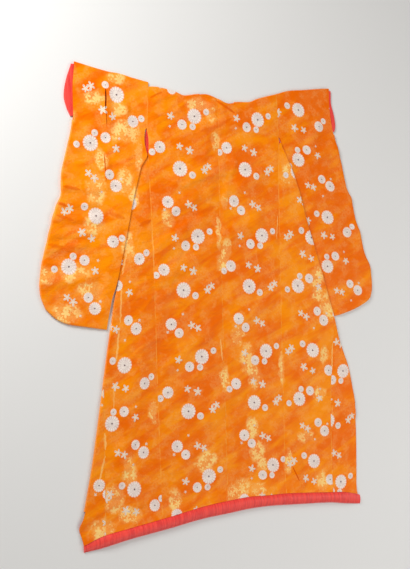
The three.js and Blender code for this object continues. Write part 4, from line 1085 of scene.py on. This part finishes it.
# a flat band down each front's slanting edge, turned down inside the back of the neck
def makeCollar(halves):
    g, c, u = garment, collar, np.linspace(0, 1, collar["columns"])[:, None]
    rows = []
    for half in halves:
        start, neck, sign = half["collarEnd"], half["neck"], half["sign"]
        along = neck - start
        out = np.array((-along[1], along[0])) / np.hypot(*along)
        line = between(start, neck, c["armRows"]) + out * g["seamGap"]
        arm = [(p + out * g["collarWidth"] * u) * (sign, 1) for p in line[:-1]]
        outerEnd = np.array((sign * line[-1, 0], shoulderY(sign * line[-1, 0]) - c["neckInset"]))
        innerEnd = np.array((sign * c["innerHalf"], outerEnd[1] - g["collarWidth"]))
        arm.append(mix(outerEnd, innerEnd, u))
        if sign < 0:
            arm.reverse()
            for t in steps(c["archEnd"], -c["archEnd"], c["archRows"])[:-1]:
                top = shoulderY(t * g["neckHalf"]) - c["neckInset"]
                upperEnd, lowerEnd = (t * g["neckHalf"], top), (t * c["innerHalf"], top - g["collarWidth"])
                rows.append(mix(np.array(upperEnd), np.array(lowerEnd), u))
        rows += arm
    plan = np.array(rows)
    grid = np.concatenate([plan, np.full((*plan.shape[:2], 1), c["thickness"] / 2)], -1)
    patch = (grid, np.broadcast_to((0.0, 0.0, 1.0), grid.shape))
    return clothPiece("collar_band", [(patch, 0)], c["thickness"], [satins["frontRight"]], 0)


hemRoll = {"height": 20.0, "endHeight": 8.0, "faceHeight": 7.5, "taper": 120.0, "station": 3.2, "top": 20.4,
           "gatherDepth": 1.5, "gatherEvery": 19.0, "wander": 5.0, "wanderSize": 60.0, "unevenSize": 45.0,
           "fineDepth": 0.35, "fineEvery": 8.5, "fineWander": 3, "fineWanderSize": 30.0,
           "section": [(0, 0), (0.0, 0.36), (0.06, 0.6), (0.17, 0.8), (0.3, 0.94), (0.42, 1), (0.56, 0.97),
                       (0.7, 0.88), (0.82, 0.74), (0.92, 0.55), (0.98, 0.38), (1, 0.24), (0.99, 0.1),
                       (0.95, 0)]}


# padded hem: the lining gathered over its padding, flat underneath
def makeHemRoll():
    h = hemRoll
    low, high = hemSeamLine[0][0], hemSeamLine[-1][0]
    x = np.linspace(low, high, round((high - low) / h["station"]))
    full = smoothStep(0, h["taper"], np.minimum(x - low, high - x))
    height, top = mix(h["endHeight"], h["height"], full), hemSeamY(x)
    width = top - hemLowerY(x)
    down, up = np.array(h["section"]).T
    wander = x + h["wander"] * ripple(x, 0 * x, h["wanderSize"], 11.0)
    depth = h["gatherDepth"] * (0.45 + 0.55 * np.abs(ripple(x, 0 * x, h["unevenSize"], 21.0)) * 2) * full
    sharp = 1 - np.abs(np.sin(np.pi * wander / h["gatherEvery"])) ** 0.7
    fineWander = wander + h["fineWander"] * ripple(x, 0 * x, h["fineWanderSize"], 31.0)
    fine = h["fineDepth"] * np.sin(2 * np.pi * fineWander / h["fineEvery"])
    soft = np.sin(np.pi * np.clip(down / 0.95, 0, 1)) ** 0.5 * (up > 0.05)
    drop = (depth * (sharp + 0.4) + fine * full)[:, None] * soft[None]
    z = np.minimum(up[None] * height[:, None] - drop + 0.6 * soft[None], h["top"])
    z[:, 1] = np.minimum(h["faceHeight"], height * 0.8)
    z[:, [0, -1]] = 0
    y = top[:, None] - down[None] * width[:, None] + 0.5 * drop * (down > 0.8)
    size, count = len(down), len(x)
    vertices = np.stack([np.broadcast_to(x[:, None], y.shape), y, z], -1).reshape(-1, 3)
    rings = np.arange(count * size).reshape(count, size).tolist()
    faces = [(b, b + size, a + size, a) for ring in rings[:-1] for a, b in zip(ring, ring[1:] + ring[:1])]
    faces += [rings[0][::-1], rings[-1]]
    return addPiece("hem_lining_roll", vertices, faces, [0] * len(faces), [redPadded], 40)


pieces, halves = {}, [prepareHalf(rightLines), prepareHalf(leftLines)]
for name, half in zip(("Right", "Left"), halves):
    key = name.lower()
    pieces["body_" + key], pieces["okumi_" + key], side = makeBodyAndOverlap(name, half)
    pieces["sleeve_" + key], mouth = makeSleeve(name, half, side)
    pieces["cuff_roll_" + key] = makeCuffRoll(name, half, mouth)
    print(name, "half made")
pieces["collar"], pieces["hem_roll"] = makeCollar(halves), makeHemRoll()
print("cloth made")

# each piece hangs from the root, and the part it replaces is hidden
for node, piece in pieces.items():
    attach(piece, "root")
    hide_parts(node)

studio = {"focal": 57.83, "sensor": 36.0, "away": 3.8, "turnedDegrees": 30.0, "rolledDegrees": 1.6,
          "aimX": -0.080, "world": 0.30, "worldColour": (1.0, 0.985, 0.96, 1.0), "floorSize": 14.0,
          "floorColour": (0.78, 0.77, 0.75, 1.0), "floorRoughness": 0.75, "floorGrainPerMetre": 180.0,
          "floorGrain": 0.0003, "floorDrop": 0.0008}
lights = {"key": ((-2.4, 2.2, 1.7), (1.3, 1.3), 107.0), "fill": ((2.4, -0.6, 2.2), (2.4, 1.6), 32.0),
          "rim": ((0.4, -2.6, 1.8), (2.6, 1.0), 16.0)}  # place, size, watts


def makeStudio():
    s, scene = studio, bpy.context.scene
    scene.view_settings.view_transform = "Standard"  # keeps the dyed colours as they are
    theta, roll = turn(s["turnedDegrees"]), turn(s["rolledDegrees"])
    aim = Vector((middleX + s["aimX"], middleY, 0))
    ahead = Vector((math.sin(theta), 0, -math.cos(theta)))
    level = Vector((math.cos(theta), 0, math.sin(theta)))
    right = level * math.cos(roll) - Vector((0, 1, 0)) * math.sin(roll)
    up = level * math.sin(roll) + Vector((0, 1, 0)) * math.cos(roll)
    lens = bpy.data.cameras.new("studio_camera")
    lens.lens, lens.sensor_width, lens.clip_end = s["focal"], s["sensor"], 50
    camera = bpy.data.objects.new("studio_camera", lens)
    rotation = Matrix((right, up, -ahead)).transposed()
    camera.matrix_world = Matrix.Translation(aim - ahead * s["away"]) @ rotation.to_4x4()
    scene.collection.objects.link(camera)
    scene.camera = camera
    for name, (place, size, watts) in lights.items():
        lamp = bpy.data.lights.new(name, "AREA")
        lamp.shape, lamp.size, lamp.size_y, lamp.energy = "RECTANGLE", *size, watts
        holder = bpy.data.objects.new(name, lamp)
        holder.location = place
        holder.rotation_euler = (-Vector(place)).to_track_quat("-Z", "Y").to_euler()
        scene.collection.objects.link(holder)
    world = bpy.data.worlds.new("studio")
    world.use_nodes = True
    background = world.node_tree.nodes["Background"].inputs
    background["Color"].default_value = s["worldColour"]
    background["Strength"].default_value = s["world"]
    scene.world = world


def makeFloor():
    s, mesh = studio, bpy.data.meshes.new("floor")
    size = s["floorSize"]
    corners = [((x - 0.5) * size, (y - 0.5) * size, 0) for x, y in ((0, 0), (1, 0), (1, 1), (0, 1))]
    mesh.from_pydata(corners, [], [(0, 1, 2, 3)])
    material, tree, sockets, place = startMaterial("pale_floor")
    sockets["Base Color"].default_value = s["floorColour"]
    sockets["Roughness"].default_value = s["floorRoughness"]
    grain = noise(tree, place, s["floorGrainPerMetre"], 3.0)
    plug(tree, sockets["Normal"], bump(tree, grain, s["floorGrain"], 0.3))
    mesh.materials.append(material)
    floor = bpy.data.objects.new("floor", mesh)
    floor.location.z = -s["floorDrop"]
    bpy.context.scene.collection.objects.link(floor)


makeStudio()
makeFloor()
print("studio ready")
